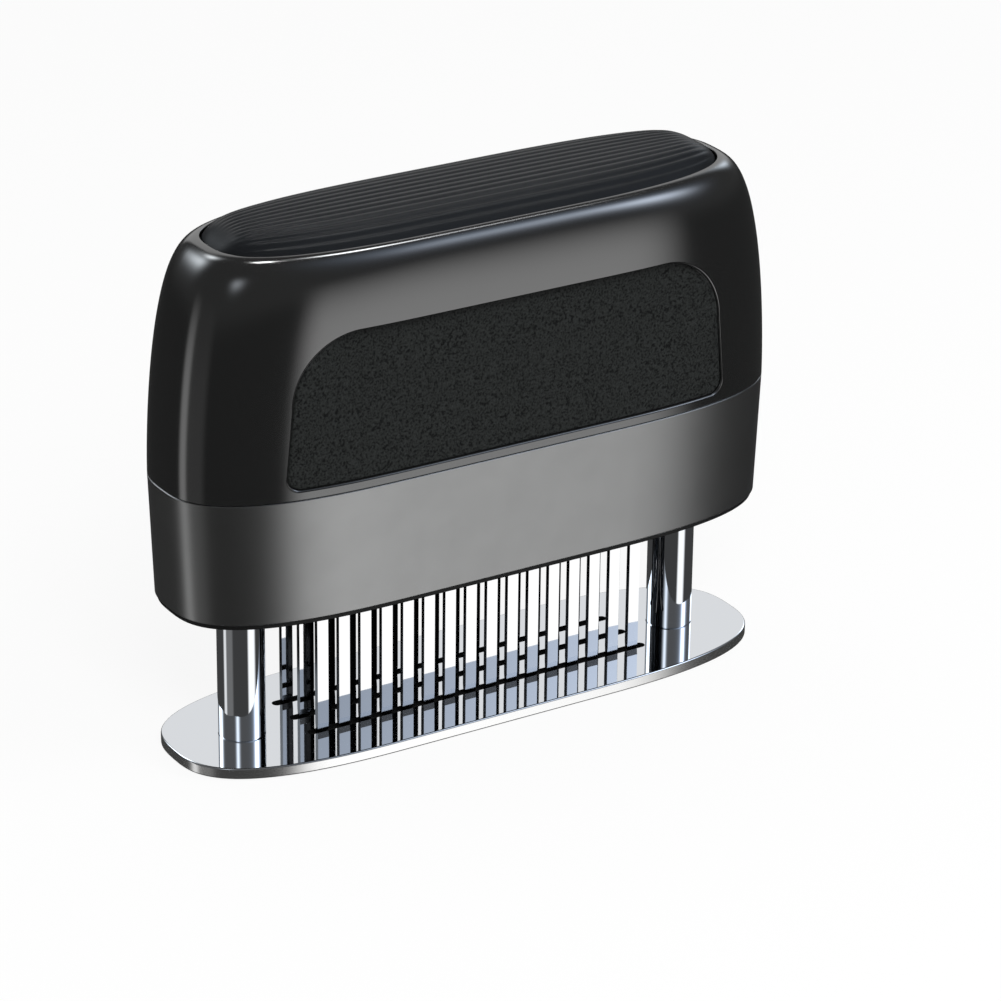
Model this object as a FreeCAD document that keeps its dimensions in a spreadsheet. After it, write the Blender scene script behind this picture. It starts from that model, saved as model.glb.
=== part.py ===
import FreeCAD, Part
import math
import os

import Sketcher

from FreeCAD import Vector

# Blade meat tenderizer, millimetres, +Z up.
# The origin is the middle of the foot plate's underside. X runs along the handle, Y to its back.
# The handle stands at rest, pushed up by its two springs, with the blade tips inside the foot plate.

doc = FreeCAD.newDocument("MeatTenderizer")
sheet = doc.addObject("Spreadsheet::Sheet", "Sizes")

SIZES = [
    # Plan outline of the housing and the foot plate: straight sides and superelliptic ends
    ("housing_length", 144.5),
    ("housing_width", 42.8),
    ("end_reach", 49.0),
    ("end_fullness", 2.8),
    ("plate_end_inset", 1.65),
    ("plate_side_inset", 0.5),
    ("plate_thickness", 2.5),
    ("plate_edge_round", 0.35),
    # Heights of the housing
    ("collar_base", 35.6),
    ("seam_height", 62.9),
    ("rim_height", 113.6),
    ("collar_end_draft", 1.05),
    ("collar_side_draft", 0.26),
    ("collar_foot_round", 1.1),
    ("seam_bevel", 0.3),
    ("collar_wall", 2.4),
    ("floor_thickness", 4.0),
    # Upper shell
    ("rim_end_inset", 11.95),
    ("rim_side_inset", 4.9),
    ("end_shoulder_start", 1.8),
    ("end_shoulder_fullness", 2.6),
    ("side_shoulder_start", 6.0),
    ("side_shoulder_fullness", 2.4),
    ("shell_side_wall", 5.8),
    ("shell_end_wall", 4.2),
    ("roof_thickness", 3.6),
    # Palm rest on top
    ("palm_seat_depth", 4.0),
    ("palm_gap", 0.4),
    ("palm_rise", 3.8),
    ("palm_fullness", 4.0),
    ("palm_edge_drop", 0.3),
    ("rib_count", 9),
    ("rib_spacing", 2.9),
    ("rib_groove_radius", 0.6),
    ("rib_groove_depth", 0.39),
    ("rib_end_margin", 12.4),
    ("rib_end_taper", 0.35),
    # Finger grips on the long sides
    ("grip_end_inset", 19.25),
    ("grip_above_seam", 2.2),
    ("grip_below_rim", 15.1),
    ("grip_top_corner", 15.5),
    ("grip_low_corner", 3.0),
    ("grip_side_lean", 1.4),
    ("grip_thickness", 1.3),
    ("scoop_depth", 2.8),
    ("scoop_foot_depth", 0.5),
    # Posts, bushes and springs
    ("post_end_inset", 18.05),
    ("post_diameter", 10.2),
    ("bush_wall", 2.0),
    ("bush_height", 12.0),
    ("bush_flange", 0.8),
    ("bush_flange_thickness", 1.5),
    ("bush_recess", 0.4),
    ("running_clearance", 0.06),
    ("seat_clearance", 0.05),
    ("tip_gap", 0.5),
    ("stop_gap", 0.2),
    ("stop_washer_overhang", 2.4),
    ("stop_washer_thickness", 1.5),
    ("post_screw_diameter", 4.0),
    ("post_screw_depth", 10.0),
    ("foot_screw_recess", 0.1),
    ("screw_head_diameter", 7.6),
    ("screw_head_height", 2.4),
    ("cup_boss_height", 5.5),
    ("spring_wire", 1.2),
    ("spring_turns", 9),
    ("spring_head_clearance", 0.9),
    ("cup_wall", 1.2),
    ("cup_depth", 6.0),
    ("cup_clearance", 0.5),
    ("cup_spigot_diameter", 4.0),
    ("cup_spigot_height", 4.0),
    # Blades and what holds them
    ("blades_per_row", 16),
    ("row_spacing", 7.8),
    ("blade_width", 2.6),
    ("blade_thickness", 1.2),
    ("blade_tip_height", 0.7),
    ("blade_bevel", 3.6),
    ("blade_slant", 1.82),
    ("blade_edge_thickness", 0.36),
    ("blade_head_width", 4.0),
    ("blade_head_height", 2.0),
    ("blade_fit", 0.1),
    ("slot_width", 2.0),
    ("plate_slot_margin", 2.0),
    ("collar_slot_margin", 0.3),
    ("block_height", 11.0),
    ("block_margin", 3.2),
    ("block_end_gap", 2.59),
    ("clamp_thickness", 2.5),
    ("clamp_screw_diameter", 2.8),
    ("clamp_screw_inset", 12.65),
    ("clamp_screw_reach", 2.7),
    ("clamp_head_diameter", 5.2),
    ("clamp_head_height", 1.8),
    # Screws that hold the collar to the shell
    ("housing_screw_end_inset", 6.75),
    ("housing_screw_diameter", 2.6),
    ("housing_screw_depth", 14.0),
    ("housing_head_diameter", 4.8),
    ("housing_head_height", 1.8),
    ("housing_head_recess", 0.2),
    ("boss_wall", 1.6),
    ("boss_reach", 14.0),
]

for row, (alias, value) in enumerate(SIZES, start=1):
    sheet.set("A%d" % row, alias)
    sheet.set("B%d" % row, str(value))
    sheet.setAlias("B%d" % row, alias)
doc.recompute()


def size(alias):
    """The value of one driving dimension."""
    return float(sheet.get(alias))


# Heights and places that follow from the driving dimensions, as expressions
FLOOR_TOP = "(Sizes.collar_base + Sizes.floor_thickness)"
POST_RADIUS = "(Sizes.post_diameter / 2)"
POST_X = "(Sizes.housing_length / 2 - Sizes.post_end_inset)"
BUSH_TOP = "(%s + Sizes.bush_height)" % FLOOR_TOP
POST_TOP = "(%s + Sizes.stop_gap)" % BUSH_TOP
WASHER_TOP = "(%s + Sizes.stop_washer_thickness)" % POST_TOP
WASHER_RADIUS = "(%s + Sizes.stop_washer_overhang)" % POST_RADIUS
SPRING_INNER = "(Sizes.screw_head_diameter / 2 + Sizes.spring_head_clearance)"
SPRING_OUTER = "(%s + Sizes.spring_wire)" % SPRING_INNER
ROOF = "(Sizes.rim_height - Sizes.palm_seat_depth - Sizes.roof_thickness)"
CUP_TOP = "(%s - Sizes.cup_boss_height)" % ROOF
SPRING_TOP = "(%s - Sizes.cup_wall)" % CUP_TOP
CUP_INNER = "(%s + Sizes.cup_clearance)" % SPRING_OUTER
CUP_OUTER = "(%s + Sizes.cup_wall)" % CUP_INNER
BUSH_OUTER = "(%s + Sizes.running_clearance + Sizes.bush_wall)" % POST_RADIUS
BUSH_FLANGE = "(%s + Sizes.bush_flange)" % BUSH_OUTER
BLOCK_REACH = "(%s - %s - Sizes.block_end_gap)" % (POST_X, BUSH_FLANGE)
ROW_REACH = "(%s - Sizes.block_margin)" % BLOCK_REACH
BLADE_PITCH = "((2 * %s - Sizes.blade_width) / (Sizes.blades_per_row - 1))" % ROW_REACH
CLAMP_SCREW_X = "(%s - Sizes.clamp_screw_inset)" % BLOCK_REACH
BLOCK_TOP = "(%s + Sizes.block_height)" % FLOOR_TOP
CLAMP_TOP = "(%s + Sizes.clamp_thickness)" % BLOCK_TOP
HOUSING_SCREW_X = "(Sizes.housing_length / 2 - Sizes.housing_screw_end_inset)"
RIM_HALF_LENGTH = "(Sizes.housing_length / 2 - Sizes.rim_end_inset)"
RIM_HALF_WIDTH = "(Sizes.housing_width / 2 - Sizes.rim_side_inset)"
GRIP_LOW = "(Sizes.seam_height + Sizes.grip_above_seam)"
GRIP_HIGH = "(Sizes.rim_height - Sizes.grip_below_rim)"
GRIP_HALF_LENGTH = "(Sizes.housing_length / 2 - Sizes.grip_end_inset)"

# How far a cutting shape runs past the face that it opens
THROUGH = 1.0

# Shares of a height at which outlines are drawn
SHELL_SHARES = (0.0, 0.2, 0.4, 0.58, 0.73, 0.84, 0.92, 0.97, 1.0)
HOLLOW_SHARES = (0.25, 0.5, 0.75, 1.0)
SCOOP_SHARES = (-0.25, 0.0, 0.35, 0.7, 1.0, 1.2)
PALM_SPREADS = (0.93, 0.82, 0.65, 0.4, 0.15)

# The last part of the shoulder's curve, left out so that it never meets the rim level
SHOULDER_REST = 0.001


def value(expression):
    """A number worked out from an expression on the sheet."""
    result = sheet.evalExpression(expression)
    return float(getattr(result, "Value", result))


# Plan outlines

def oval_wire(half_length, half_width, height, inset=0.0):
    """Closed outline in plan: two straight sides joined by two superelliptic ends."""
    reach = size("end_reach") - inset
    fullness = size("end_fullness")
    length = half_length - inset
    width = half_width - inset
    start = length - reach

    def end_curve(side):
        points = []
        steps = 16
        for step in range(steps + 1):
            angle = math.pi / 2 - math.pi * step / steps
            run = max(math.cos(angle), 0.0) ** (2 / fullness)
            rise = math.copysign(abs(math.sin(angle)) ** (2 / fullness), math.sin(angle))
            points.append(Vector(side * (start + reach * run), side * width * rise, height))
        curve = Part.BSplineCurve()
        along = Vector(side, 0, 0)
        curve.interpolate(points, InitialTangent=along, FinalTangent=along * -1)
        return curve.toShape(), points[0], points[-1]

    right, right_back, right_front = end_curve(1)
    left, left_front, left_back = end_curve(-1)
    front = Part.LineSegment(right_front, left_front).toShape()
    back = Part.LineSegment(left_back, right_back).toShape()
    return Part.Wire([right, front, left, back])


def oval_loft(levels, ruled=False):
    """Solid through outlines, each given as half length, half width, height and inset."""
    return Part.makeLoft([oval_wire(*level) for level in levels], True, ruled)


def oval_prism(half_length, half_width, low, high, inset=0.0):
    """Upright solid on one outline."""
    face = Part.Face(oval_wire(half_length, half_width, low, inset))
    return face.extrude(Vector(0, 0, high - low))


def shoulder(share, start, fullness):
    """How far in the shell has come at a share of its height: 0 at the seam, 1 at the rim."""
    drawn_in = 1 - (1 - (1 - SHOULDER_REST) * share ** start) ** (1 / fullness)
    return drawn_in / (1 - SHOULDER_REST ** (1 / fullness))


def shell_half_length(share, inset=0.0):
    drawn_in = shoulder(share, size("end_shoulder_start"), size("end_shoulder_fullness"))
    full = size("housing_length") / 2
    return full - (full - value(RIM_HALF_LENGTH)) * drawn_in - inset


def shell_half_width(share, inset=0.0):
    drawn_in = shoulder(share, size("side_shoulder_start"), size("side_shoulder_fullness"))
    full = size("housing_width") / 2
    return full - (full - value(RIM_HALF_WIDTH)) * drawn_in - inset


def shell_level(share, end_inset=0.0, side_inset=0.0):
    """One outline of the upper shell at a share of its height."""
    height = size("seam_height") + (size("rim_height") - size("seam_height")) * share
    return (shell_half_length(share, end_inset), shell_half_width(share, side_inset), height)


def feature(label, shape):
    """A document object that holds a finished shape."""
    item = doc.addObject("Part::Feature", label)
    item.Label = label
    item.Shape = shape
    return item


# Turned pieces: a Body with one Sketch revolved about the vertical axis

def role_of(body, role):
    for item in body.Origin.OriginFeatures:
        if item.Role == role:
            return item
    raise ValueError(role)


def draw_profile(sketch, corners):
    """Closed line profile whose corners are bound to expressions on the sheet."""
    places = [Vector(value(across), value(up), 0) for across, up in corners]
    count = len(corners)
    for index in range(count):
        segment = Part.LineSegment(places[index], places[(index + 1) % count])
        sketch.addGeometry(segment, False)
    for index in range(count):
        joint = ("Coincident", index, 2, (index + 1) % count, 1)
        sketch.addConstraint(Sketcher.Constraint(*joint))
    for index, (across, up) in enumerate(corners):
        if across == "0":
            sketch.addConstraint(Sketcher.Constraint("PointOnObject", index, 1, -2))
        else:
            bound = Sketcher.Constraint("DistanceX", -1, 1, index, 1, places[index].x)
            sketch.setExpression("Constraints[%d]" % sketch.addConstraint(bound), across)
        bound = Sketcher.Constraint("DistanceY", -1, 1, index, 1, places[index].y)
        sketch.setExpression("Constraints[%d]" % sketch.addConstraint(bound), up)


def turned(label, corners, x="0", y="0"):
    """Body revolved about Z from a profile of (radius, height) corners, standing at x, y."""
    body = doc.addObject("PartDesign::Body", label)
    body.Label = label
    sketch = body.newObject("Sketcher::SketchObject", label + "_profile")
    sketch.AttachmentSupport = [(role_of(body, "XZ_Plane"), "")]
    sketch.MapMode = "FlatFace"
    draw_profile(sketch, corners)
    spin = body.newObject("PartDesign::Revolution", label + "_turn")
    spin.Profile = sketch
    spin.ReferenceAxis = (sketch, ["V_Axis"])
    spin.Angle = 360
    body.Tip = spin
    body.setExpression("Placement.Base.x", x)
    body.setExpression("Placement.Base.y", y)
    return body


def box(label, x_size, y_size, low, high):
    """Box centred on the vertical axis, from one height to another."""
    item = doc.addObject("Part::Box", label)
    item.Label = label
    item.setExpression("Length", x_size)
    item.setExpression("Width", y_size)
    item.setExpression("Height", "%s - %s" % (high, low))
    item.setExpression("Placement.Base.x", "-(%s) / 2" % x_size)
    item.setExpression("Placement.Base.y", "-(%s) / 2" % y_size)
    item.setExpression("Placement.Base.z", low)
    return item


def rod(label, radius, low, high, x="0", y="0"):
    """Upright cylinder from one height to another."""
    item = doc.addObject("Part::Cylinder", label)
    item.Label = label
    item.setExpression("Radius", radius)
    item.setExpression("Height", "%s - %s" % (high, low))
    item.setExpression("Placement.Base.x", x)
    item.setExpression("Placement.Base.y", y)
    item.setExpression("Placement.Base.z", low)
    return item


def cut(label, base, tools):
    """One piece with others taken out of it."""
    group = doc.addObject("Part::Compound", label + "_tools")
    group.Links = tools
    item = doc.addObject("Part::Cut", label)
    item.Label = label
    item.Base = base
    item.Tool = group
    return item


def together(label, members):
    """Separate solids kept as one group."""
    item = doc.addObject("Part::Compound", label)
    item.Label = label
    item.Links = members
    return item


SIDES = (("left", "-"), ("right", ""))


# Foot: plate, posts, stop washers, screws and springs

def slot_cutters(width, half_length, low, high):
    """Long round-ended slots, one for each row of blades."""
    shapes = []
    radius = width / 2
    for row in (-1, 0, 1):
        y = row * size("row_spacing")
        straight = half_length - radius
        middle = Part.makeBox(2 * straight, width, high - low, Vector(-straight, y - radius, low))
        ends = [Part.makeCylinder(radius, high - low, Vector(x, y, low)) for x in (-straight, straight)]
        shapes.append(middle.fuse(ends).removeSplitter())
    return shapes


def make_foot_plate():
    half_length = size("housing_length") / 2 - size("plate_end_inset")
    half_width = size("housing_width") / 2 - size("plate_side_inset")
    edge = size("plate_edge_round")
    top = size("plate_thickness")
    blank = oval_loft([(half_length, half_width, 0.0, edge), (half_length, half_width, edge)], True)
    blank = blank.fuse(oval_prism(half_length, half_width, edge, top - edge))
    upper = [(half_length, half_width, top - edge), (half_length, half_width, top, edge)]
    blank = blank.fuse(oval_loft(upper, True)).removeSplitter()
    reach = value(ROW_REACH) + size("plate_slot_margin")
    tools = slot_cutters(size("slot_width"), reach, -THROUGH, top + THROUGH)
    screw = size("post_screw_diameter") / 2 + size("seat_clearance")
    head = size("screw_head_diameter") / 2 + size("seat_clearance") + size("foot_screw_recess")
    for side in (-1, 1):
        x = side * value(POST_X)
        tools.append(Part.makeCylinder(screw, top + 2 * THROUGH, Vector(x, 0, -THROUGH)))
        tools.append(Part.makeCone(head, screw, head - screw, Vector(x, 0, 0)))
    return feature("foot_plate", blank.cut(tools))


def make_post(name, sign):
    hole = "(Sizes.post_screw_diameter / 2 + Sizes.seat_clearance)"
    low_hole = "(Sizes.plate_thickness + Sizes.post_screw_depth)"
    high_hole = "(%s - Sizes.post_screw_depth)" % POST_TOP
    corners = [
        (hole, "Sizes.plate_thickness"),
        (POST_RADIUS, "Sizes.plate_thickness"),
        (POST_RADIUS, POST_TOP),
        (hole, POST_TOP),
        (hole, high_hole),
        ("0", high_hole),
        ("0", low_hole),
        (hole, low_hole),
    ]
    return turned("post_" + name, corners, sign + POST_X)


def make_foot_screw(name, sign):
    """Countersunk screw from below, flush with the plate's underside."""
    head = "(Sizes.screw_head_diameter / 2)"
    shank = "(Sizes.post_screw_diameter / 2)"
    sunk = "(Sizes.screw_head_diameter / 2 - Sizes.post_screw_diameter / 2)"
    tip = "(Sizes.plate_thickness + Sizes.post_screw_depth - Sizes.tip_gap)"
    key = "(Sizes.post_screw_diameter / 4)"
    face = "Sizes.foot_screw_recess"
    key_roof = "(Sizes.foot_screw_recess + Sizes.plate_thickness / 2)"
    corners = [
        (key, face),
        (head, face),
        (shank, "%s + %s" % (sunk, face)),
        (shank, tip),
        ("0", tip),
        ("0", key_roof),
        (key, key_roof),
    ]
    return turned("foot_screw_" + name, corners, sign + POST_X)


def make_stop_washer(name, sign):
    hole = "(Sizes.post_screw_diameter / 2 + Sizes.seat_clearance)"
    corners = [(hole, POST_TOP), (WASHER_RADIUS, POST_TOP), (WASHER_RADIUS, WASHER_TOP), (hole, WASHER_TOP)]
    return turned("stop_washer_" + name, corners, sign + POST_X)


def make_post_top_screw(name, sign):
    head = "(Sizes.screw_head_diameter / 2)"
    shank = "(Sizes.post_screw_diameter / 2)"
    key = "(Sizes.post_screw_diameter / 4)"
    head_top = "(%s + Sizes.screw_head_height)" % WASHER_TOP
    key_floor = "(%s + Sizes.screw_head_height / 2)" % WASHER_TOP
    tip = "(%s - Sizes.post_screw_depth + Sizes.tip_gap)" % POST_TOP
    corners = [
        ("0", tip),
        (shank, tip),
        (shank, WASHER_TOP),
        (head, WASHER_TOP),
        (head, head_top),
        (key, head_top),
        (key, key_floor),
        ("0", key_floor),
    ]
    return turned("post_top_screw_" + name, corners, sign + POST_X)


def helix_point(angle, radius, rise, low):
    place = Vector(radius * math.cos(angle), radius * math.sin(angle), low + rise * angle / (2 * math.pi))
    tangent = Vector(-radius * math.sin(angle), radius * math.cos(angle), rise / (2 * math.pi))
    return place, tangent.normalize()


def tangent_arcs(start, start_way, end, end_way):
    """Two arcs that leave one point along its tangent and reach the next along its own."""
    span = end - start
    both = start_way + end_way
    a = both.dot(both) - 4
    b = -2 * span.dot(both)
    c = span.dot(span)
    reach = (-b - math.sqrt(b * b - 4 * a * c)) / (2 * a)
    if reach < 0:
        reach = (-b + math.sqrt(b * b - 4 * a * c)) / (2 * a)
    first = start + start_way * reach
    second = end - end_way * reach
    middle = (first + second) * 0.5
    edges = []
    for corner, one, other in ((first, start, middle), (second, middle, end)):
        centre_way = ((one + other) * 0.5 - corner).normalize()
        half_angle = (one - corner).getAngle(centre_way)
        leg = (one - corner).Length
        radius = leg * math.tan(half_angle)
        centre = corner + centre_way * (leg / math.cos(half_angle))
        edges.append(Part.Arc(one, centre - centre_way * radius, other).toShape())
    return edges


def make_spring(name, side):
    """Round-wire compression spring as one unbroken tube."""
    wire = size("spring_wire") / 2
    radius = value(SPRING_INNER) + wire
    low = value(WASHER_TOP) + wire
    turns = int(size("spring_turns"))
    length = value(SPRING_TOP) - value(WASHER_TOP)
    rise = (length - 2 * wire) / turns
    print("spring: gap between turns %.2f mm" % (rise - 2 * wire))
    edges = []
    quarter = math.pi / 2
    for step in range(4 * turns):
        start, start_way = helix_point(step * quarter, radius, rise, low)
        end, end_way = helix_point((step + 1) * quarter, radius, rise, low)
        edges += tangent_arcs(start, start_way, end, end_way)
    path = Part.Wire(edges)
    start, start_way = helix_point(0, radius, rise, low)
    section = Part.Wire(Part.makeCircle(wire, start, start_way))
    tube = path.makePipeShell([section], True, False)
    tube = tube.common(Part.makeCylinder(radius + 2 * wire, length, Vector(0, 0, value(WASHER_TOP))))
    tube.translate(Vector(side * value(POST_X), 0, 0))
    return feature("return_spring_" + name, tube)


# Handle: collar, shell, grips

def ring_boss(x, radius, low, high):
    return Part.makeCylinder(radius, high - low, Vector(x, 0, low))


def make_lower_collar():
    half_length = size("housing_length") / 2
    half_width = size("housing_width") / 2
    base = size("collar_base")
    seam = size("seam_height")
    low_length = half_length - size("collar_end_draft")
    low_width = half_width - size("collar_side_draft")
    bevel = size("seam_bevel")
    foot = size("collar_foot_round")
    halfway = foot * (1 - math.sqrt(0.5))
    body = oval_loft([
        (low_length, low_width, base, foot),
        (low_length, low_width, base + halfway, halfway),
        (low_length, low_width, base + foot),
        (half_length, half_width, seam - bevel),
        (half_length, half_width, seam, bevel),
    ], True)
    wall = size("collar_wall")
    floor_top = base + size("floor_thickness")
    hollow = oval_loft([
        (low_length, low_width, floor_top, wall),
        (half_length, half_width, seam + THROUGH, wall),
    ], True)
    body = body.cut(hollow)
    reach = value(ROW_REACH) + size("collar_slot_margin")
    tools = slot_cutters(size("slot_width"), reach, base - THROUGH, floor_top + THROUGH)
    bush = value(BUSH_OUTER) + size("seat_clearance")
    screw = size("housing_screw_diameter") / 2 + size("seat_clearance")
    head = size("housing_head_diameter") / 2 + size("seat_clearance")
    clamp = size("clamp_screw_diameter") / 2 + size("seat_clearance")
    pilot = floor_top - size("clamp_screw_reach") - size("tip_gap")
    for side in (-1, 1):
        tools.append(ring_boss(side * value(POST_X), bush, base - THROUGH, floor_top + THROUGH))
        x = side * value(HOUSING_SCREW_X)
        tools.append(ring_boss(x, screw, base - THROUGH, floor_top + THROUGH))
        tools.append(ring_boss(x, head, base - THROUGH, base + size("housing_head_height")))
        for row in (-1, 1):
            place = Vector(side * value(CLAMP_SCREW_X), row * size("row_spacing") / 2, pilot)
            tools.append(Part.makeCylinder(clamp, size("floor_thickness"), place))
    return feature("lower_collar", body.cut(tools))


def grip_outline():
    """Outline of a finger grip in the XZ plane."""
    low = value(GRIP_LOW)
    high = value(GRIP_HIGH)
    foot = value(GRIP_HALF_LENGTH)
    lean = size("grip_side_lean")
    top_corner = size("grip_top_corner")
    low_corner = size("grip_low_corner")
    shoulder_height = high - top_corner
    top_x = foot - lean
    slant = 1 - math.sqrt(0.5)
    edges = []
    for side in (-1, 1):
        foot_point = Vector(side * foot, 0, low + low_corner)
        side_top = Vector(side * top_x, 0, shoulder_height)
        arc_middle = Vector(side * (top_x - top_corner * slant), 0, high - top_corner * slant)
        arc_top = Vector(side * (top_x - top_corner), 0, high)
        low_middle = Vector(side * (foot - low_corner * slant), 0, low + low_corner * slant)
        low_end = Vector(side * (foot - low_corner), 0, low)
        edges.append(Part.LineSegment(foot_point, side_top).toShape())
        edges.append(Part.Arc(side_top, arc_middle, arc_top).toShape())
        edges.append(Part.Arc(foot_point, low_middle, low_end).toShape())
    inner = top_x - top_corner
    edges.append(Part.LineSegment(Vector(-inner, 0, high), Vector(inner, 0, high)).toShape())
    inner = foot - low_corner
    edges.append(Part.LineSegment(Vector(-inner, 0, low), Vector(inner, 0, low)).toShape())
    return Part.Wire(Part.__sortEdges__(edges))


def grip_prism(side):
    """The grip's outline carried out through one long side of the housing."""
    face = Part.Face(grip_outline())
    return face.extrude(Vector(0, side * size("housing_width"), 0))


def scoop_core(extra):
    """What is left of the housing inside the finger scoops, less an extra depth."""
    low = value(GRIP_LOW)
    high = value(GRIP_HIGH)
    levels = []
    for share in SCOOP_SHARES:
        height = low + (high - low) * share
        part = min(max(share, 0.0), 1.0)
        bowl = math.sin(part * math.pi / 2)
        depth = size("scoop_foot_depth") + (size("scoop_depth") - size("scoop_foot_depth")) * bowl
        levels.append((size("housing_length") / 2, size("housing_width") / 2, height, depth + extra))
    return oval_loft(levels, True)


def make_upper_shell():
    bevel = size("seam_bevel")
    seam = size("seam_height")
    half_length = size("housing_length") / 2
    half_width = size("housing_width") / 2
    foot = oval_loft([(half_length, half_width, seam, bevel), (half_length, half_width, seam + bevel)], True)
    levels = [shell_level(share) for share in SHELL_SHARES]
    levels[0] = (half_length, half_width, seam + bevel)
    body = foot.fuse(oval_loft(levels)).removeSplitter()
    roof = value(ROOF)
    top_share = (roof - seam) / (size("rim_height") - seam)
    end_wall = size("shell_end_wall")
    side_wall = size("shell_side_wall")
    hollow_levels = [(half_length - end_wall, half_width - side_wall, seam - THROUGH)]
    for share in HOLLOW_SHARES:
        hollow_levels.append(shell_level(share * top_share, end_wall, side_wall))
    body = body.cut(oval_loft(hollow_levels, True))
    rim = size("rim_height")
    seat = oval_prism(value(RIM_HALF_LENGTH), value(RIM_HALF_WIDTH), rim - size("palm_seat_depth"),
                      rim + THROUGH, size("palm_gap"))
    body = body.cut(seat)
    inner = scoop_core(size("grip_thickness"))
    for side in (-1, 1):
        body = body.cut(grip_prism(side).cut(inner))
    floor_top = value(FLOOR_TOP)
    boss = size("housing_screw_diameter") / 2 + size("boss_wall")
    cup_top = value(CUP_TOP)
    cup_radius = value(CUP_OUTER)
    for side in (-1, 1):
        x = side * value(HOUSING_SCREW_X)
        column = ring_boss(x, boss, floor_top, seam + size("boss_reach"))
        body = body.fuse(column)
        post_x = side * value(POST_X)
        body = body.fuse(ring_boss(post_x, cup_radius, cup_top, roof + THROUGH))
    hole = size("housing_screw_diameter") / 2 + size("seat_clearance")
    spigot = size("cup_spigot_diameter") / 2 + size("seat_clearance")
    spigot_end = cup_top + size("cup_spigot_height") + size("tip_gap")
    tools = []
    for side in (-1, 1):
        x = side * value(HOUSING_SCREW_X)
        tools.append(ring_boss(x, hole, floor_top - THROUGH, floor_top + size("housing_screw_depth")))
        post_x = side * value(POST_X)
        tools.append(ring_boss(post_x, spigot, cup_top - THROUGH, spigot_end))
    return feature("upper_shell", body.cut(tools).removeSplitter())


def make_grip(label, side):
    """Soft finger grip lying in its scoop, of even thickness."""
    sheet_solid = scoop_core(0.0).cut(scoop_core(size("grip_thickness")))
    return feature(label, grip_prism(side).common(sheet_solid))


def make_palm_rest():
    """Domed palm rest with lengthwise grooves, let into the top of the shell."""
    half_length = value(RIM_HALF_LENGTH)
    half_width = value(RIM_HALF_WIDTH)
    gap = size("palm_gap") + size("seat_clearance")
    seat = size("rim_height") - size("palm_seat_depth")
    rim = size("rim_height") - size("palm_edge_drop")
    rise = size("palm_rise") + size("palm_edge_drop")
    fullness = size("palm_fullness")
    body = oval_prism(half_length, half_width, seat, rim, gap)
    levels = [(half_length, half_width, rim, gap)]
    for spread in PALM_SPREADS:
        inset = gap + half_width * (1 - spread)
        levels.append((half_length, half_width, rim + rise * (1 - spread ** fullness), inset))
    body = body.fuse(oval_loft(levels)).removeSplitter()
    grooves = []
    count = int(size("rib_count"))
    for index in range(count):
        y = (index - (count - 1) / 2) * size("rib_spacing")
        height = rim + rise * (1 - (abs(y) / half_width) ** fullness)
        run = half_length - size("rib_end_margin") - abs(y) * size("rib_end_taper")
        radius = size("rib_groove_radius")
        centre = Vector(-run, y, height + radius - size("rib_groove_depth"))
        grooves.append(Part.makeCylinder(radius, 2 * run, centre, Vector(1, 0, 0)))
    return feature("palm_rest", body.cut(grooves))


def make_bush(name, sign):
    bore = "(%s + Sizes.running_clearance)" % POST_RADIUS
    flange_top = "(%s + Sizes.bush_flange_thickness)" % FLOOR_TOP
    foot = "(Sizes.collar_base + Sizes.bush_recess)"
    corners = [
        (bore, foot),
        (BUSH_OUTER, foot),
        (BUSH_OUTER, FLOOR_TOP),
        (BUSH_FLANGE, FLOOR_TOP),
        (BUSH_FLANGE, flange_top),
        (BUSH_OUTER, flange_top),
        (BUSH_OUTER, BUSH_TOP),
        (bore, BUSH_TOP),
    ]
    return turned("guide_bush_" + name, corners, sign + POST_X)


def make_spring_cup(name, sign):
    spigot = "(Sizes.cup_spigot_diameter / 2)"
    mouth = "(%s - Sizes.cup_depth)" % SPRING_TOP
    spigot_top = "(%s + Sizes.cup_spigot_height)" % CUP_TOP
    corners = [
        ("0", SPRING_TOP),
        (CUP_INNER, SPRING_TOP),
        (CUP_INNER, mouth),
        (CUP_OUTER, mouth),
        (CUP_OUTER, CUP_TOP),
        (spigot, CUP_TOP),
        (spigot, spigot_top),
        ("0", spigot_top),
    ]
    return turned("spring_cup_" + name, corners, sign + POST_X)


# Blades, carrier block and clamp

def blade_solid(x, y, mirrored):
    """Flat strip with a slanted chisel point and a wider head that hangs in the block."""
    half = size("blade_width") / 2
    head = size("blade_head_width") / 2
    top = value(BLOCK_TOP)
    neck = top - size("blade_head_height")
    tip = size("blade_tip_height")
    bevel = tip + size("blade_bevel")
    way = -1 if mirrored else 1
    corners = [
        (-half * way, tip),
        (half * way, tip + size("blade_slant")),
        (half * way, neck),
        (head * way, neck),
        (head * way, top),
        (-head * way, top),
        (-head * way, neck),
        (-half * way, neck),
    ]
    thick = size("blade_thickness")
    points = [Vector(x + across, y - thick / 2, up) for across, up in corners]
    solid = Part.Face(Part.makePolygon(points + points[:1])).extrude(Vector(0, thick, 0))
    edge = size("blade_edge_thickness") / 2
    wedge_points = [
        Vector(x - head, y - thick, tip - THROUGH),
        Vector(x - head, y - edge, tip - THROUGH),
        Vector(x - head, y - edge, tip),
        Vector(x - head, y - thick / 2, bevel),
        Vector(x - head, y - thick, bevel),
    ]
    wedge = Part.Face(Part.makePolygon(wedge_points + wedge_points[:1])).extrude(Vector(2 * head, 0, 0))
    mirror = wedge.mirror(Vector(x, y, 0), Vector(0, 1, 0))
    return solid.cut([wedge, mirror])


def blade_places():
    count = int(size("blades_per_row"))
    return [(index - (count - 1) / 2) * value(BLADE_PITCH) for index in range(count)]


def make_blade_row(label, row):
    y = row * size("row_spacing")
    blades = [blade_solid(x, y, index % 2 == 1) for index, x in enumerate(blade_places())]
    return feature(label, Part.makeCompound(blades))


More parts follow.
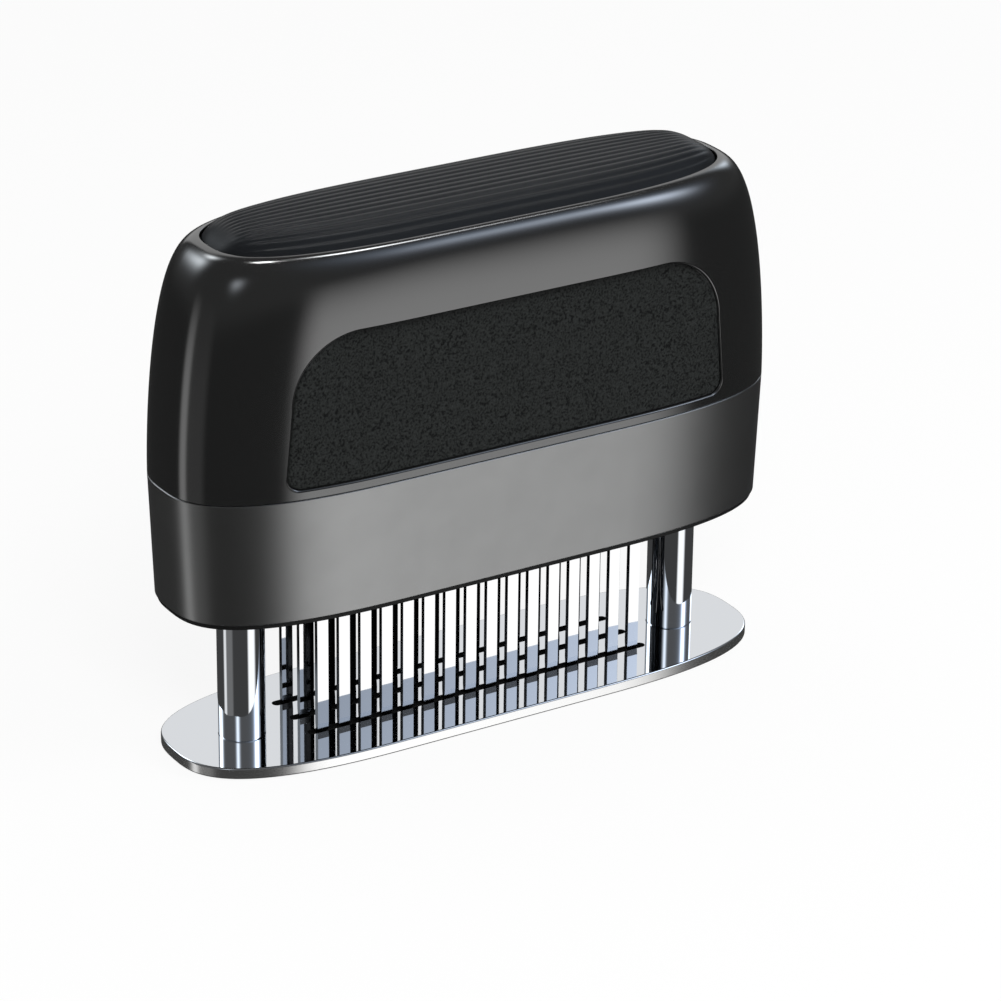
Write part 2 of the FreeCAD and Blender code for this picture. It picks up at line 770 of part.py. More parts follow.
def make_blade_block():
    """Carrier with one stepped pocket for each blade, screwed to the collar's floor."""
    low = value(FLOOR_TOP)
    top = value(BLOCK_TOP)
    reach = value(BLOCK_REACH)
    depth = size("row_spacing") + size("blade_thickness") / 2 + size("block_margin")
    body = Part.makeBox(2 * reach, 2 * depth, top - low, Vector(-reach, -depth, low))
    fit = size("blade_fit")
    thick = size("blade_thickness") + 2 * fit
    neck = top - size("blade_head_height")
    sections = (
        (size("blade_width"), low - THROUGH, top),
        (size("blade_head_width"), neck, top + THROUGH),
    )
    tools = []
    for row in (-1, 0, 1):
        y = row * size("row_spacing") - thick / 2
        for x in blade_places():
            for width, start, end in sections:
                half = width / 2 + fit
                tools.append(Part.makeBox(2 * half, thick, end - start, Vector(x - half, y, start)))
    screw = size("clamp_screw_diameter") / 2 + size("seat_clearance")
    for side in (-1, 1):
        for row in (-1, 1):
            place = Vector(side * value(CLAMP_SCREW_X), row * size("row_spacing") / 2, low - THROUGH)
            tools.append(Part.makeCylinder(screw, top - low + 2 * THROUGH, place))
    return feature("blade_block", body.cut(tools))


def clamp_screw_places():
    along = "(Sizes.row_spacing / 2)"
    return [(a + CLAMP_SCREW_X, b + along) for a in ("-", "") for b in ("-", "")]


def make_blade_clamp():
    length = "(2 * %s)" % BLOCK_REACH
    width = "(2 * Sizes.row_spacing + Sizes.blade_thickness + 2 * Sizes.block_margin)"
    blank = box("blade_clamp_blank", length, width, BLOCK_TOP, CLAMP_TOP)
    hole = "(Sizes.clamp_screw_diameter / 2 + Sizes.seat_clearance)"
    low = "(%s - %s)" % (BLOCK_TOP, THROUGH)
    high = "(%s + %s)" % (CLAMP_TOP, THROUGH)
    holes = [rod("blade_clamp_hole_%d" % index, hole, low, high, x, y)
             for index, (x, y) in enumerate(clamp_screw_places(), start=1)]
    return cut("blade_clamp", blank, holes)


def make_clamp_screws():
    shank = "(Sizes.clamp_screw_diameter / 2)"
    head = "(Sizes.clamp_head_diameter / 2)"
    key = "(Sizes.clamp_screw_diameter / 4)"
    head_top = "(%s + Sizes.clamp_head_height)" % CLAMP_TOP
    key_floor = "(%s + Sizes.clamp_head_height / 3)" % CLAMP_TOP
    tip = "(%s - Sizes.clamp_screw_reach)" % FLOOR_TOP
    corners = [
        ("0", tip),
        (shank, tip),
        (shank, CLAMP_TOP),
        (head, CLAMP_TOP),
        (head, head_top),
        (key, head_top),
        (key, key_floor),
        ("0", key_floor),
    ]
    screws = [turned("clamp_screw_%d" % index, corners, x, y)
              for index, (x, y) in enumerate(clamp_screw_places(), start=1)]
    return together("clamp_screws", screws)


def make_housing_screws():
    shank = "(Sizes.housing_screw_diameter / 2)"
    head = "(Sizes.housing_head_diameter / 2)"
    key = "(Sizes.housing_screw_diameter / 4)"
    low = "(Sizes.collar_base + Sizes.housing_head_recess)"
    key_roof = "(%s + Sizes.housing_head_height / 2)" % low
    head_top = "(Sizes.collar_base + Sizes.housing_head_height)"
    tip = "(%s + Sizes.housing_screw_depth - Sizes.tip_gap)" % FLOOR_TOP
    corners = [
        (key, low),
        (head, low),
        (head, head_top),
        (shank, head_top),
        (shank, tip),
        ("0", tip),
        ("0", key_roof),
        (key, key_roof),
    ]
    screws = [turned("housing_screw_" + name, corners, sign + HOUSING_SCREW_X) for name, sign in SIDES]
    return together("housing_screws", screws)


def make_all():
    pieces = [make_foot_plate()]
    pieces += [make_post(name, sign) for name, sign in SIDES]
    pieces.append(together("foot_screws", [make_foot_screw(name, sign) for name, sign in SIDES]))
    pieces.append(together("post_stop_washers", [make_stop_washer(name, sign) for name, sign in SIDES]))
    pieces.append(together("post_top_screws", [make_post_top_screw(name, sign) for name, sign in SIDES]))
    pieces += [make_spring("left", -1), make_spring("right", 1)]
    pieces += [make_lower_collar(), make_upper_shell()]
    pieces += [make_grip("front_grip", -1), make_grip("rear_grip", 1), make_palm_rest()]
    pieces += [make_bush(name, sign) for name, sign in SIDES]
    pieces += [make_spring_cup(name, sign) for name, sign in SIDES]
    for label, row in (("front", -1), ("middle", 0), ("rear", 1)):
        pieces.append(make_blade_row("blade_row_" + label, row))
    pieces += [make_blade_block(), make_blade_clamp(), make_clamp_screws(), make_housing_screws()]
    return pieces


def check_and_write(pieces):
    doc.recompute()
    for item in doc.Objects:
        if "Invalid" in item.State or "Error" in item.State:
            raise RuntimeError("%s failed: %s" % (item.Label, item.State))
    os.makedirs("parts", exist_ok=True)
    for piece in pieces:
        shape = piece.Shape
        if shape.isNull() or not shape.isValid():
            raise RuntimeError("%s has no valid shape" % piece.Label)
        shape.exportStep("parts/%s.step" % piece.Label)
        bounds = shape.BoundBox
        print("%-20s %2d solids %9.1f mm3  z %.2f to %.2f" % (
            piece.Label, len(shape.Solids), shape.Volume, bounds.ZMin, bounds.ZMax))


check_and_write(make_all())
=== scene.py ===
import math

import bpy
from mathutils import Matrix, Vector
from mathutils.geometry import delaunay_2d_cdt


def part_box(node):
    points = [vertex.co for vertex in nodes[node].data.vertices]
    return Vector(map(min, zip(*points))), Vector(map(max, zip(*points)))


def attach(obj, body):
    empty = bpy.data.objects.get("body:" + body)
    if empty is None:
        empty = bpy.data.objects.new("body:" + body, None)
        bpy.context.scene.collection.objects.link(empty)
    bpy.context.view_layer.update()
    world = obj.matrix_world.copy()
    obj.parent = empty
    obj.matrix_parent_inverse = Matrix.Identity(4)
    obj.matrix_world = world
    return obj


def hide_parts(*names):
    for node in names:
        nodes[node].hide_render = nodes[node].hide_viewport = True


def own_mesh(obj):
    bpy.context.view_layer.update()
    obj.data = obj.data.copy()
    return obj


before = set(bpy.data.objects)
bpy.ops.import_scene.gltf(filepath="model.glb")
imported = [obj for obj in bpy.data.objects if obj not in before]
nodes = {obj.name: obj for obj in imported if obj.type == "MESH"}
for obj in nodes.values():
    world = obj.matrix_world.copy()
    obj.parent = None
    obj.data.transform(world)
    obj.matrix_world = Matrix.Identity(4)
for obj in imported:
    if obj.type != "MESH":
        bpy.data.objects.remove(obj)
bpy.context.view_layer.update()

# Sizes are in millimetres. The frame gives the places of the pieces, and the rest follows the solids.
MM = 0.001


def box_mm(node):
    low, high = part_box(node)
    return low / MM, high / MM


collar_low, collar_high = box_mm("lower_collar")
plate_high = box_mm("foot_plate")[1]
palm_low, palm_high = box_mm("palm_rest")
grip_low, grip_high = box_mm("front_grip")
post_low, post_high = box_mm("post_right")
spring_low, spring_high = box_mm("return_spring_right")
housing_screw_high = box_mm("housing_screws")[1]
row_low, row_high = box_mm("blade_row_front")

HOUSING_HALF_LENGTH = collar_high.x
HOUSING_HALF_WIDTH = collar_high.y
END_REACH = 49.0
END_FULLNESS = 2.8
COLLAR_BASE = collar_low.z
SEAM = collar_high.z
COLLAR_DRAFT = 1.05
COLLAR_EDGE = 0.3
BASE_LIP = 1.05
BASE_LIP_INSET = 0.45
COLLAR_WALL = 2.4
FLOOR_THICKNESS = 4.0
SEAM_BEVEL = 0.2
RIM = 113.6
RIM_HALF_LENGTH = HOUSING_HALF_LENGTH - 11.95
RIM_HALF_WIDTH = HOUSING_HALF_WIDTH - 4.9
END_SHOULDER = (1.8, 2.6)
SIDE_SHOULDER = (6.0, 2.4)
PALM_GAP = 0.4
PALM_SEAT = palm_low.z
GRIP_LOW = grip_low.z
GRIP_HIGH = grip_high.z
GRIP_HALF_LENGTH = grip_high.x
GRIP_TOP_DROP = 0.85
GRIP_TOP_CORNER = 15.5
GRIP_LOW_CORNER = 3.0
GRIP_SIDE_LEAN = 1.4
GRIP_PAD = 0.8
GRIP_GAP = 0.05
SCOOP_END_DEPTH = 0.45
SCOOP_RUN_OUT = 16.0
SCOOP_DEPTH = 2.8
SCOOP_FOOT_DEPTH = 0.5
PLATE_TOP = plate_high.z
PLATE_HALF_LENGTH = plate_high.x
PLATE_HALF_WIDTH = plate_high.y
PLATE_EDGE = 0.35
SLOT_EDGE = 0.15
ROW_SPACING = 7.8
SLOT_WIDTH = 2.0
BLADE_WIDTH = 2.6
BLADE_HEAD = 4.0
BLADE_SHANK_REACH = row_high.x - (BLADE_HEAD - BLADE_WIDTH) / 2
PLATE_SLOT_GAP = 2.0
COLLAR_SLOT_GAP = 0.3
PLATE_SLOT_REACH = BLADE_SHANK_REACH + PLATE_SLOT_GAP
COLLAR_SLOT_REACH = BLADE_SHANK_REACH + COLLAR_SLOT_GAP
POST_X = (post_low.x + post_high.x) / 2
POST_RADIUS = (post_high.x - post_low.x) / 2
POST_BORE = 2.05
POST_TOP_EDGE = 0.3
POST_FOOT_EDGE = 0.25
BUSH_PLAY = 0.06
BUSH_WALL = 2.0
BUSH_CLEARANCE = 0.05
BUSH_OPENING = POST_RADIUS + BUSH_PLAY + BUSH_WALL + BUSH_CLEARANCE
HOUSING_SCREW_HEAD = 2.4
HOUSING_SCREW_X = housing_screw_high.x - HOUSING_SCREW_HEAD
HOUSING_HEAD_RADIUS = 2.45
HOUSING_HEAD_HEIGHT = 1.8
FOOT_SCREW_HEAD = 3.95
FOOT_SCREW_HOLE = 2.05


# Meshes made of patches that share corners but keep their own shading

class Skin:
    """Collects patches of faces. Corners that meet are shared, and each patch keeps its normals."""

    def __init__(self):
        self.corners = []
        self.index = {}
        self.faces = []
        self.normals = []
        self.slots = []

    def corner(self, point):
        key = (round(point.x, 4), round(point.y, 4), round(point.z, 4))
        if key not in self.index:
            self.index[key] = len(self.corners)
            self.corners.append(point * MM)
        return self.index[key]

    def add(self, points, faces, normals, slot=0):
        places = [self.corner(point) for point in points]
        for face in faces:
            loop = []
            for corner in face:
                if places[corner] not in [places[other] for other in loop]:
                    loop.append(corner)
            if len(loop) < 3:
                continue
            self.faces.append([places[corner] for corner in loop])
            self.normals += [normals[corner] for corner in loop]
            self.slots.append(slot)

    def build(self, name, materials, body, replaced=()):
        mesh = bpy.data.meshes.new(name)
        mesh.from_pydata(self.corners, [], self.faces)
        for material in materials:
            mesh.materials.append(material)
        mesh.polygons.foreach_set("use_smooth", [True] * len(mesh.polygons))
        mesh.polygons.foreach_set("material_index", self.slots)
        mesh.normals_split_custom_set(self.normals)
        piece = bpy.data.objects.new(name, mesh)
        bpy.context.scene.collection.objects.link(piece)
        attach(piece, body)
        if replaced:
            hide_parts(*replaced)
        return piece


def grid_normals(rows, closed, flip):
    """Normals of a grid of points by central differences."""
    height = len(rows)
    width = len(rows[0])
    normals = []
    for i in range(height):
        for j in range(width):
            up = rows[min(i + 1, height - 1)][j] - rows[max(i - 1, 0)][j]
            if closed:
                along = rows[i][(j + 1) % width] - rows[i][j - 1]
            else:
                along = rows[i][min(j + 1, width - 1)] - rows[i][max(j - 1, 0)]
            normal = along.cross(up)
            if normal.length < 1e-9:
                normal = Vector((0, 0, 1))
            normals.append(normal.normalized() * (-1 if flip else 1))
    return normals


def add_grid(skin, rows, closed=True, flip=False, slot=0, first_normals=None):
    """Quads between rows of equal length."""
    width = len(rows[0])
    points = [point for row in rows for point in row]
    normals = grid_normals(rows, closed, flip)
    if first_normals:
        normals[:width] = first_normals
    faces = []
    for i in range(len(rows) - 1):
        for j in range(width if closed else width - 1):
            a = i * width + j
            b = i * width + (j + 1) % width
            face = [a, b, b + width, a + width]
            faces.append(face[::-1] if flip else face)
    skin.add(points, faces, normals, slot)


def inside(loop, x, y):
    """Whether a point is inside a closed outline in the plane."""
    found = False
    for i, (ax, ay) in enumerate(loop):
        bx, by = loop[i - 1]
        if (ay > y) != (by > y) and x < (bx - ax) * (y - ay) / (by - ay) + ax:
            found = not found
    return found


CLEAR_OF_EDGE = 0.25


def near_loop(loops, x, y, reach):
    """Whether a point is nearer than reach to a corner of one of the outlines."""
    return any((px - x) ** 2 + (py - y) ** 2 < reach * reach for loop in loops for px, py in loop)


def add_sheet(skin, outer, holes, inner, place, normal, slot=0):
    """Triangles that fill an outline with holes, laid on a surface by place and normal."""
    coords = []
    edges = []
    for loop in [outer] + holes:
        start = len(coords)
        coords += loop
        count = len(loop)
        edges += [(start + i, start + (i + 1) % count) for i in range(count)]
    coords += [p for p in inner if not near_loop([outer] + holes, p[0], p[1], CLEAR_OF_EDGE)]
    outer_face = list(range(len(outer)))
    result = delaunay_2d_cdt([Vector(c) for c in coords], edges, [outer_face], 1, 1e-6)
    flat = [tuple(c) for c in result[0]]
    points = [place(x, y) for x, y in flat]
    normals = [normal(x, y) for x, y in flat]
    faces = []
    for face in result[2]:
        x = sum(flat[i][0] for i in face) / len(face)
        y = sum(flat[i][1] for i in face) / len(face)
        if any(inside(hole, x, y) for hole in holes):
            continue
        a, b, c = [points[i] for i in face[:3]]
        facing = (b - a).cross(c - a).dot(normals[face[0]])
        faces.append(list(face) if facing > 0 else list(face)[::-1])
    skin.add(points, faces, normals, slot)


# Plan outlines: straight sides and superelliptic ends

END_STEPS = 30
STRAIGHT_STEPS = 14
CORNER_TURNS = [math.pi / 2 * (i / END_STEPS) for i in range(END_STEPS + 1)]


def outline(half_length, half_width, height, inset=0.0):
    """Closed loop of points, anticlockwise seen from above, starting at the front left straight."""
    reach = END_REACH - inset
    start = half_length - inset - reach
    width = half_width - inset
    power = 2 / END_FULLNESS

    def corner(turn):
        return start + reach * math.sin(turn) ** power, width * max(math.cos(turn), 0.0) ** power

    points = []
    for i in range(STRAIGHT_STEPS):
        points.append(Vector((-start + 2 * start * i / STRAIGHT_STEPS, -width, height)))
    for turn in CORNER_TURNS[:-1]:
        x, y = corner(turn)
        points.append(Vector((x, -y, height)))
    for turn in CORNER_TURNS[:0:-1]:
        x, y = corner(turn)
        points.append(Vector((x, y, height)))
    for i in range(STRAIGHT_STEPS):
        points.append(Vector((start - 2 * start * i / STRAIGHT_STEPS, width, height)))
    for turn in CORNER_TURNS[:-1]:
        x, y = corner(turn)
        points.append(Vector((-x, y, height)))
    for turn in CORNER_TURNS[:0:-1]:
        x, y = corner(turn)
        points.append(Vector((-x, -y, height)))
    return points


SHOULDER_SHARE = 0.999


def shoulder(share, form):
    start, fullness = form
    drawn_in = 1 - (1 - SHOULDER_SHARE * share ** start) ** (1 / fullness)
    return drawn_in / (1 - (1 - SHOULDER_SHARE) ** (1 / fullness))


def shell_reach(share):
    """Half length and half width of the shell at a share of its height."""
    end_inset = (HOUSING_HALF_LENGTH - RIM_HALF_LENGTH) * shoulder(share, END_SHOULDER)
    side_inset = (HOUSING_HALF_WIDTH - RIM_HALF_WIDTH) * shoulder(share, SIDE_SHOULDER)
    return HOUSING_HALF_LENGTH - end_inset, HOUSING_HALF_WIDTH - side_inset


# The shell's long sides are laid out flat: u runs along the outline and w up the side

FLAT_HALF = 23.25
FLAT_END = 58.0
FLAT_HEIGHT = 60.0
TOP_CROWDING = 2.2
SHELL_FOOT = SEAM + SEAM_BEVEL


def share_of(w):
    base = SEAM_BEVEL / (RIM - SEAM)
    rest = 1 - (1 - w / FLAT_HEIGHT) ** TOP_CROWDING
    return base + (1 - base) * rest


def w_of(height):
    base = SEAM_BEVEL / (RIM - SEAM)
    rest = ((height - SEAM) / (RIM - SEAM) - base) / (1 - base)
    return FLAT_HEIGHT * (1 - (1 - rest) ** (1 / TOP_CROWDING))


def side_point(u, w, side):
    """Point on a long side of the shell for a place in the flat layout."""
    share = share_of(min(max(w, 0.0), FLAT_HEIGHT))
    length, width = shell_reach(share)
    start = length - END_REACH
    height = SEAM + (RIM - SEAM) * share
    if abs(u) <= FLAT_HALF:
        return Vector((start * u / FLAT_HALF, side * width, height))
    turn = min((abs(u) - FLAT_HALF) / FLAT_END, 1.0) * math.pi / 2
    power = 2 / END_FULLNESS
    x = start + END_REACH * math.sin(turn) ** power
    y = width * max(math.cos(turn), 0.0) ** power
    return Vector((math.copysign(x, u), side * y, height))


def u_of(x, height):
    """Place along the flat layout for a point on the side."""
    length, _ = shell_reach((height - SEAM) / (RIM - SEAM))
    start = length - END_REACH
    if abs(x) <= start:
        return FLAT_HALF * x / start
    turn = math.asin(((abs(x) - start) / END_REACH) ** (END_FULLNESS / 2))
    return math.copysign(FLAT_HALF + FLAT_END * turn / (math.pi / 2), x)


def side_normal(u, w, side):
    """Outward normal of a long side of the shell."""
    step = 0.02
    u = min(max(u, -FLAT_HALF - FLAT_END + 2 * step), FLAT_HALF + FLAT_END - 2 * step)
    w = min(max(w, step), FLAT_HEIGHT - 0.5)
    along = side_point(u + step, w, side) - side_point(u - step, w, side)
    up = side_point(u, w + step, side) - side_point(u, w - step, side)
    normal = along.cross(up)
    return normal.normalized() * (1 if side < 0 else -1)


U_STOPS = []
for i in range(STRAIGHT_STEPS):
    U_STOPS.append(-FLAT_HALF + 2 * FLAT_HALF * i / STRAIGHT_STEPS)
for i in range(END_STEPS + 1):
    U_STOPS.append(FLAT_HALF + FLAT_END * i / END_STEPS)
    U_STOPS.append(-FLAT_HALF - FLAT_END * i / END_STEPS)
U_STOPS = sorted(set(round(u, 6) for u in U_STOPS))
W_STEPS = 40


def grip_outline(offset, corner_steps=14, side_steps=18, long_steps=60):
    """Closed loop of (x, z) points round a finger grip, anticlockwise seen from the front."""
    low = GRIP_LOW - offset
    high = GRIP_HIGH - GRIP_TOP_DROP + offset
    foot = GRIP_HALF_LENGTH + offset
    top = foot - GRIP_SIDE_LEAN
    shoulder_height = high - GRIP_TOP_CORNER
    right = []
    for i in range(corner_steps):
        turn = math.pi / 2 * i / corner_steps
        x = foot - GRIP_LOW_CORNER * (1 - math.sin(turn))
        right.append((x, low + GRIP_LOW_CORNER * (1 - math.cos(turn))))
    for i in range(side_steps):
        part = i / side_steps
        climb = low + GRIP_LOW_CORNER + (shoulder_height - low - GRIP_LOW_CORNER) * part
        right.append((foot - GRIP_SIDE_LEAN * part, climb))
    for i in range(2 * corner_steps + 1):
        turn = math.pi / 2 * i / (2 * corner_steps)
        x = top - GRIP_TOP_CORNER * (1 - math.cos(turn))
        right.append((x, shoulder_height + GRIP_TOP_CORNER * math.sin(turn)))
    left = [(-x, z) for x, z in reversed(right)]
    bottom_end = foot - GRIP_LOW_CORNER
    top_end = top - GRIP_TOP_CORNER
    top_run = [(top_end - 2 * top_end * i / long_steps, high) for i in range(1, long_steps)]
    low_run = [(-bottom_end + 2 * bottom_end * i / long_steps, low) for i in range(1, long_steps)]
    return right + top_run + left + low_run


def smooth_step(low, high, value):
    part = min(max((value - low) / (high - low), 0.0), 1.0)
    return part * part * (3 - 2 * part)


def side_depth(x, height):
    """Distance of the shell's long side from the middle plane."""
    length, width = shell_reach((height - SEAM) / (RIM - SEAM))
    past = max(abs(x) - (length - END_REACH), 0.0) / END_REACH
    return width * (1 - past ** END_FULLNESS) ** (1 / END_FULLNESS)


def scoop_inset(x, height):
    """Depth of the finger scoop, which runs out towards its ends."""
    part = min(max((height - GRIP_LOW) / (GRIP_HIGH - GRIP_LOW), 0.0), 1.0)
    bowl = math.sin(part * math.pi / 2)
    deep = SCOOP_FOOT_DEPTH + (SCOOP_DEPTH - SCOOP_FOOT_DEPTH) * bowl
    run_out = smooth_step(GRIP_HALF_LENGTH - SCOOP_RUN_OUT, GRIP_HALF_LENGTH - 1.0, abs(x))
    return deep + (SCOOP_END_DEPTH - deep) * run_out


def scoop_distance(x, height):
    """Distance of the grip's face from the middle plane."""
    inset = scoop_inset(x, height)
    past = max(abs(x) - (HOUSING_HALF_LENGTH - END_REACH), 0.0) / (END_REACH - inset)
    return (HOUSING_HALF_WIDTH - inset) * (1 - past ** END_FULLNESS) ** (1 / END_FULLNESS)


RIM_LIP = 0.16
RIM_ROUND = [(0.04, 0.005), (0.09, 0.03), (0.13, 0.08), (RIM_LIP, 0.18)]
SCOOP_WALL = 0.9
SHELL_SKIRT = 1.6
SHELL_CEILING = SEAM + 4
WELL_RADIUS = 8.1
WELL_END = 105.5
# Rolled edge round a grip: distance outside the grip, and depth under the shell's face
LIP = [(0.45, 0.0), (0.30, 0.03), (0.17, 0.11), (0.06, 0.25), (0.0, 0.45)]


def make_shell(material):
    """Upper moulding: side faces with a rolled opening for each grip, a rim, and wells for the posts."""
    skin = Skin()
    edge = [(u, 0.0) for u in U_STOPS]
    edge += [(U_STOPS[-1], FLAT_HEIGHT * i / W_STEPS) for i in range(1, W_STEPS)]
    edge += [(u, FLAT_HEIGHT) for u in reversed(U_STOPS)]
    edge += [(U_STOPS[0], FLAT_HEIGHT * i / W_STEPS) for i in range(W_STEPS - 1, 0, -1)]
    lip_loops = [grip_outline(offset) for offset, _ in LIP]
    flat = lip_loops[-1]
    hole = [(u_of(x, z), w_of(z)) for x, z in lip_loops[0]]
    inner = [(u, FLAT_HEIGHT * i / W_STEPS) for u in U_STOPS[1:-1] for i in range(1, W_STEPS)]
    back_inner = [(x * 4.0, GRIP_LOW + z * 4.0) for x in range(-13, 14) for z in range(1, 9)]
    back_inner = [p for p in back_inner if inside(flat, *p)]
    for side in (-1, 1):
        def back_point(x, z):
            return Vector((x, side * (scoop_distance(x, z) - SCOOP_WALL), z))

        add_sheet(skin, edge, [hole], inner,
                  lambda u, w: side_point(u, w, side), lambda u, w: side_normal(u, w, side))
        rows = []
        for loop, (_, depth) in zip(lip_loops, LIP):
            rows.append([Vector((x, side * (side_depth(x, z) - depth), z)) for x, z in loop])
        first = [side_normal(u, w, side) for u, w in hole]
        add_grid(skin, rows, flip=side < 0, first_normals=first)
        add_grid(skin, [rows[-1], [back_point(x, z) for x, z in flat]], flip=side < 0)
        add_sheet(skin, flat, [], back_inner, back_point, lambda x, z: Vector((0, side, 0)))
    length, width = shell_reach(1.0)
    rim_rows = [outline(length, width, RIM)]
    rim_rows += [outline(length, width, RIM - drop, inset) for inset, drop in RIM_ROUND]
    add_grid(skin, rim_rows)
    deep = [rim_rows[-1], outline(length, width, PALM_SEAT, RIM_LIP)]
    add_grid(skin, deep)
    add_flat(skin, deep[-1], [], PALM_SEAT, 1)
    length, width = HOUSING_HALF_LENGTH, HOUSING_HALF_WIDTH
    foot = [
        outline(length, width, SEAM, SHELL_SKIRT),
        outline(length, width, SEAM + 0.02, SEAM_BEVEL * 1.2),
    ]
    add_grid(skin, foot)
    bevel = [foot[-1], outline(length, width, SEAM + SEAM_BEVEL * 0.4, SEAM_BEVEL * 0.4),
             outline(*shell_reach(share_of(0.0)), SHELL_FOOT)]
    add_grid(skin, bevel)
    hidden = [outline(length, width, SHELL_CEILING, SHELL_SKIRT), foot[0]]
    add_grid(skin, hidden)
    wells = []
    for side in (-1, 1):
        mouth = ring(side * POST_X, 0, WELL_RADIUS, SHELL_CEILING)
        end = ring(side * POST_X, 0, WELL_RADIUS, WELL_END)
        wells.append(mouth)
        add_grid(skin, [end, mouth])
        add_flat(skin, end, [], WELL_END, -1)
    add_flat(skin, hidden[0], wells, SHELL_CEILING, -1)
    return skin.build("shell_moulding", [material], "handle", ["upper_shell"])


def add_flat(skin, loop, holes, height, up, slot=0):
    """Level face inside a loop of points, with holes."""
    flat = [(p.x, p.y) for p in loop]
    open_loops = [[(p.x, p.y) for p in hole] for hole in holes]
    normal = Vector((0, 0, up))
    add_sheet(skin, flat, open_loops, [],
              lambda x, y: Vector((x, y, height)), lambda x, y: normal, slot=slot)


def ring(x, y, radius, height, steps=48):
    turns = [2 * math.pi * i / steps for i in range(steps)]
    return [Vector((x + radius * math.cos(t), y + radius * math.sin(t), height)) for t in turns]


def slot_loop(y, reach, half_width, height, steps=12):
    """Closed loop of points round a slot with round ends."""
    straight = reach - half_width
    points = []
    for side in (1, -1):
        for i in range(steps + 1):
            turn = -math.pi / 2 + math.pi * i / steps
            x = side * (straight + half_width * math.cos(turn))
            points.append(Vector((x, y + side * half_width * math.sin(turn), height)))
    return points


def rounded_edge(steps, radius):
    """Rise and inset of each row of a quarter round, from the level face to the upright one."""
    turns = [math.pi / 2 * i / steps for i in range(steps + 1)]
    return [(radius * (1 - math.cos(turn)), radius * (1 - math.sin(turn))) for turn in turns]


def make_collar(finish, base_painted_shade):
    """Lower moulding: a drafted wall, a floor with slots and openings, and a base lip; the lip, the
    underside, the floors and the walls of the openings are painted black as shade.
    """
    skin = Skin()
    length = HOUSING_HALF_LENGTH
    width = HOUSING_HALF_WIDTH
    low_length = length - COLLAR_DRAFT
    low_width = width - COLLAR_DRAFT / 4
    floor_top = COLLAR_BASE + FLOOR_THICKNESS
    floor_under = COLLAR_BASE - BASE_LIP
    lip_rows = [
        outline(low_length, low_width, floor_under, BASE_LIP_INSET + 0.25),
        outline(low_length, low_width, floor_under + 0.07, BASE_LIP_INSET + 0.07),
        outline(low_length, low_width, floor_under + 0.25, BASE_LIP_INSET),
        outline(low_length, low_width, COLLAR_BASE, BASE_LIP_INSET),
    ]
    # Slot 1 is the painted shadow black: shade under the collar, on its base lip and in its openings and
    # screw recesses.
    add_grid(skin, lip_rows, slot=1)
    add_grid(skin, [lip_rows[-1], outline(low_length, low_width, COLLAR_BASE, COLLAR_EDGE)], slot=1)
    foot_rows = [outline(low_length, low_width, COLLAR_BASE + rise, inset)
                 for rise, inset in rounded_edge(5, COLLAR_EDGE)]
    add_grid(skin, foot_rows)
    side_rows = [foot_rows[-1]]
    for share in (0.25, 0.5, 0.75, 1.0):
        height = COLLAR_BASE + COLLAR_EDGE + (SEAM - SEAM_BEVEL - COLLAR_BASE - COLLAR_EDGE) * share
        part = (height - COLLAR_BASE) / (SEAM - COLLAR_BASE)
        row_length = low_length + (length - low_length) * part
        side_rows.append(outline(row_length, low_width + (width - low_width) * part, height))
    add_grid(skin, side_rows)
    seam_rows = [side_rows[-1], outline(length, width, SEAM - SEAM_BEVEL * 0.4, SEAM_BEVEL * 0.4),
                 outline(length, width, SEAM - 0.02, SEAM_BEVEL * 1.2)]
    add_grid(skin, seam_rows)
    top_rows = [seam_rows[-1], outline(length, width, SEAM - 0.02, COLLAR_WALL)]
    add_grid(skin, top_rows)
    inner_rows = [top_rows[-1], outline(low_length, low_width, floor_top, COLLAR_WALL)]
    add_grid(skin, inner_rows)
    low_holes = []
    high_holes = []
    openings = []
    for row in (-1, 0, 1):
        y = row * ROW_SPACING
        openings.append(lambda h, y=y: slot_loop(y, COLLAR_SLOT_REACH, SLOT_WIDTH / 2, h))
    for side in (-1, 1):
        openings.append(lambda h, x=side * POST_X: ring(x, 0, BUSH_OPENING, h))
    for opening in openings:
        low_holes.append(opening(floor_under))
        high_holes.append(opening(floor_top))
        add_grid(skin, [high_holes[-1], low_holes[-1]], slot=1)
    for side in (-1, 1):
        x = side * HOUSING_SCREW_X
        head = ring(x, 0, HOUSING_HEAD_RADIUS, floor_under, 32)
        head_top = ring(x, 0, HOUSING_HEAD_RADIUS, COLLAR_BASE + HOUSING_HEAD_HEIGHT, 32)
        low_holes.append(head)
        add_grid(skin, [head_top, head], slot=1)
        add_flat(skin, head_top, [], COLLAR_BASE + HOUSING_HEAD_HEIGHT, -1, slot=1)
    add_flat(skin, lip_rows[0], low_holes, floor_under, -1, slot=1)
    add_flat(skin, inner_rows[-1], high_holes, floor_top, 1, slot=1)
    return skin.build("collar_moulding", [finish, base_painted_shade], "handle", ["lower_collar"])


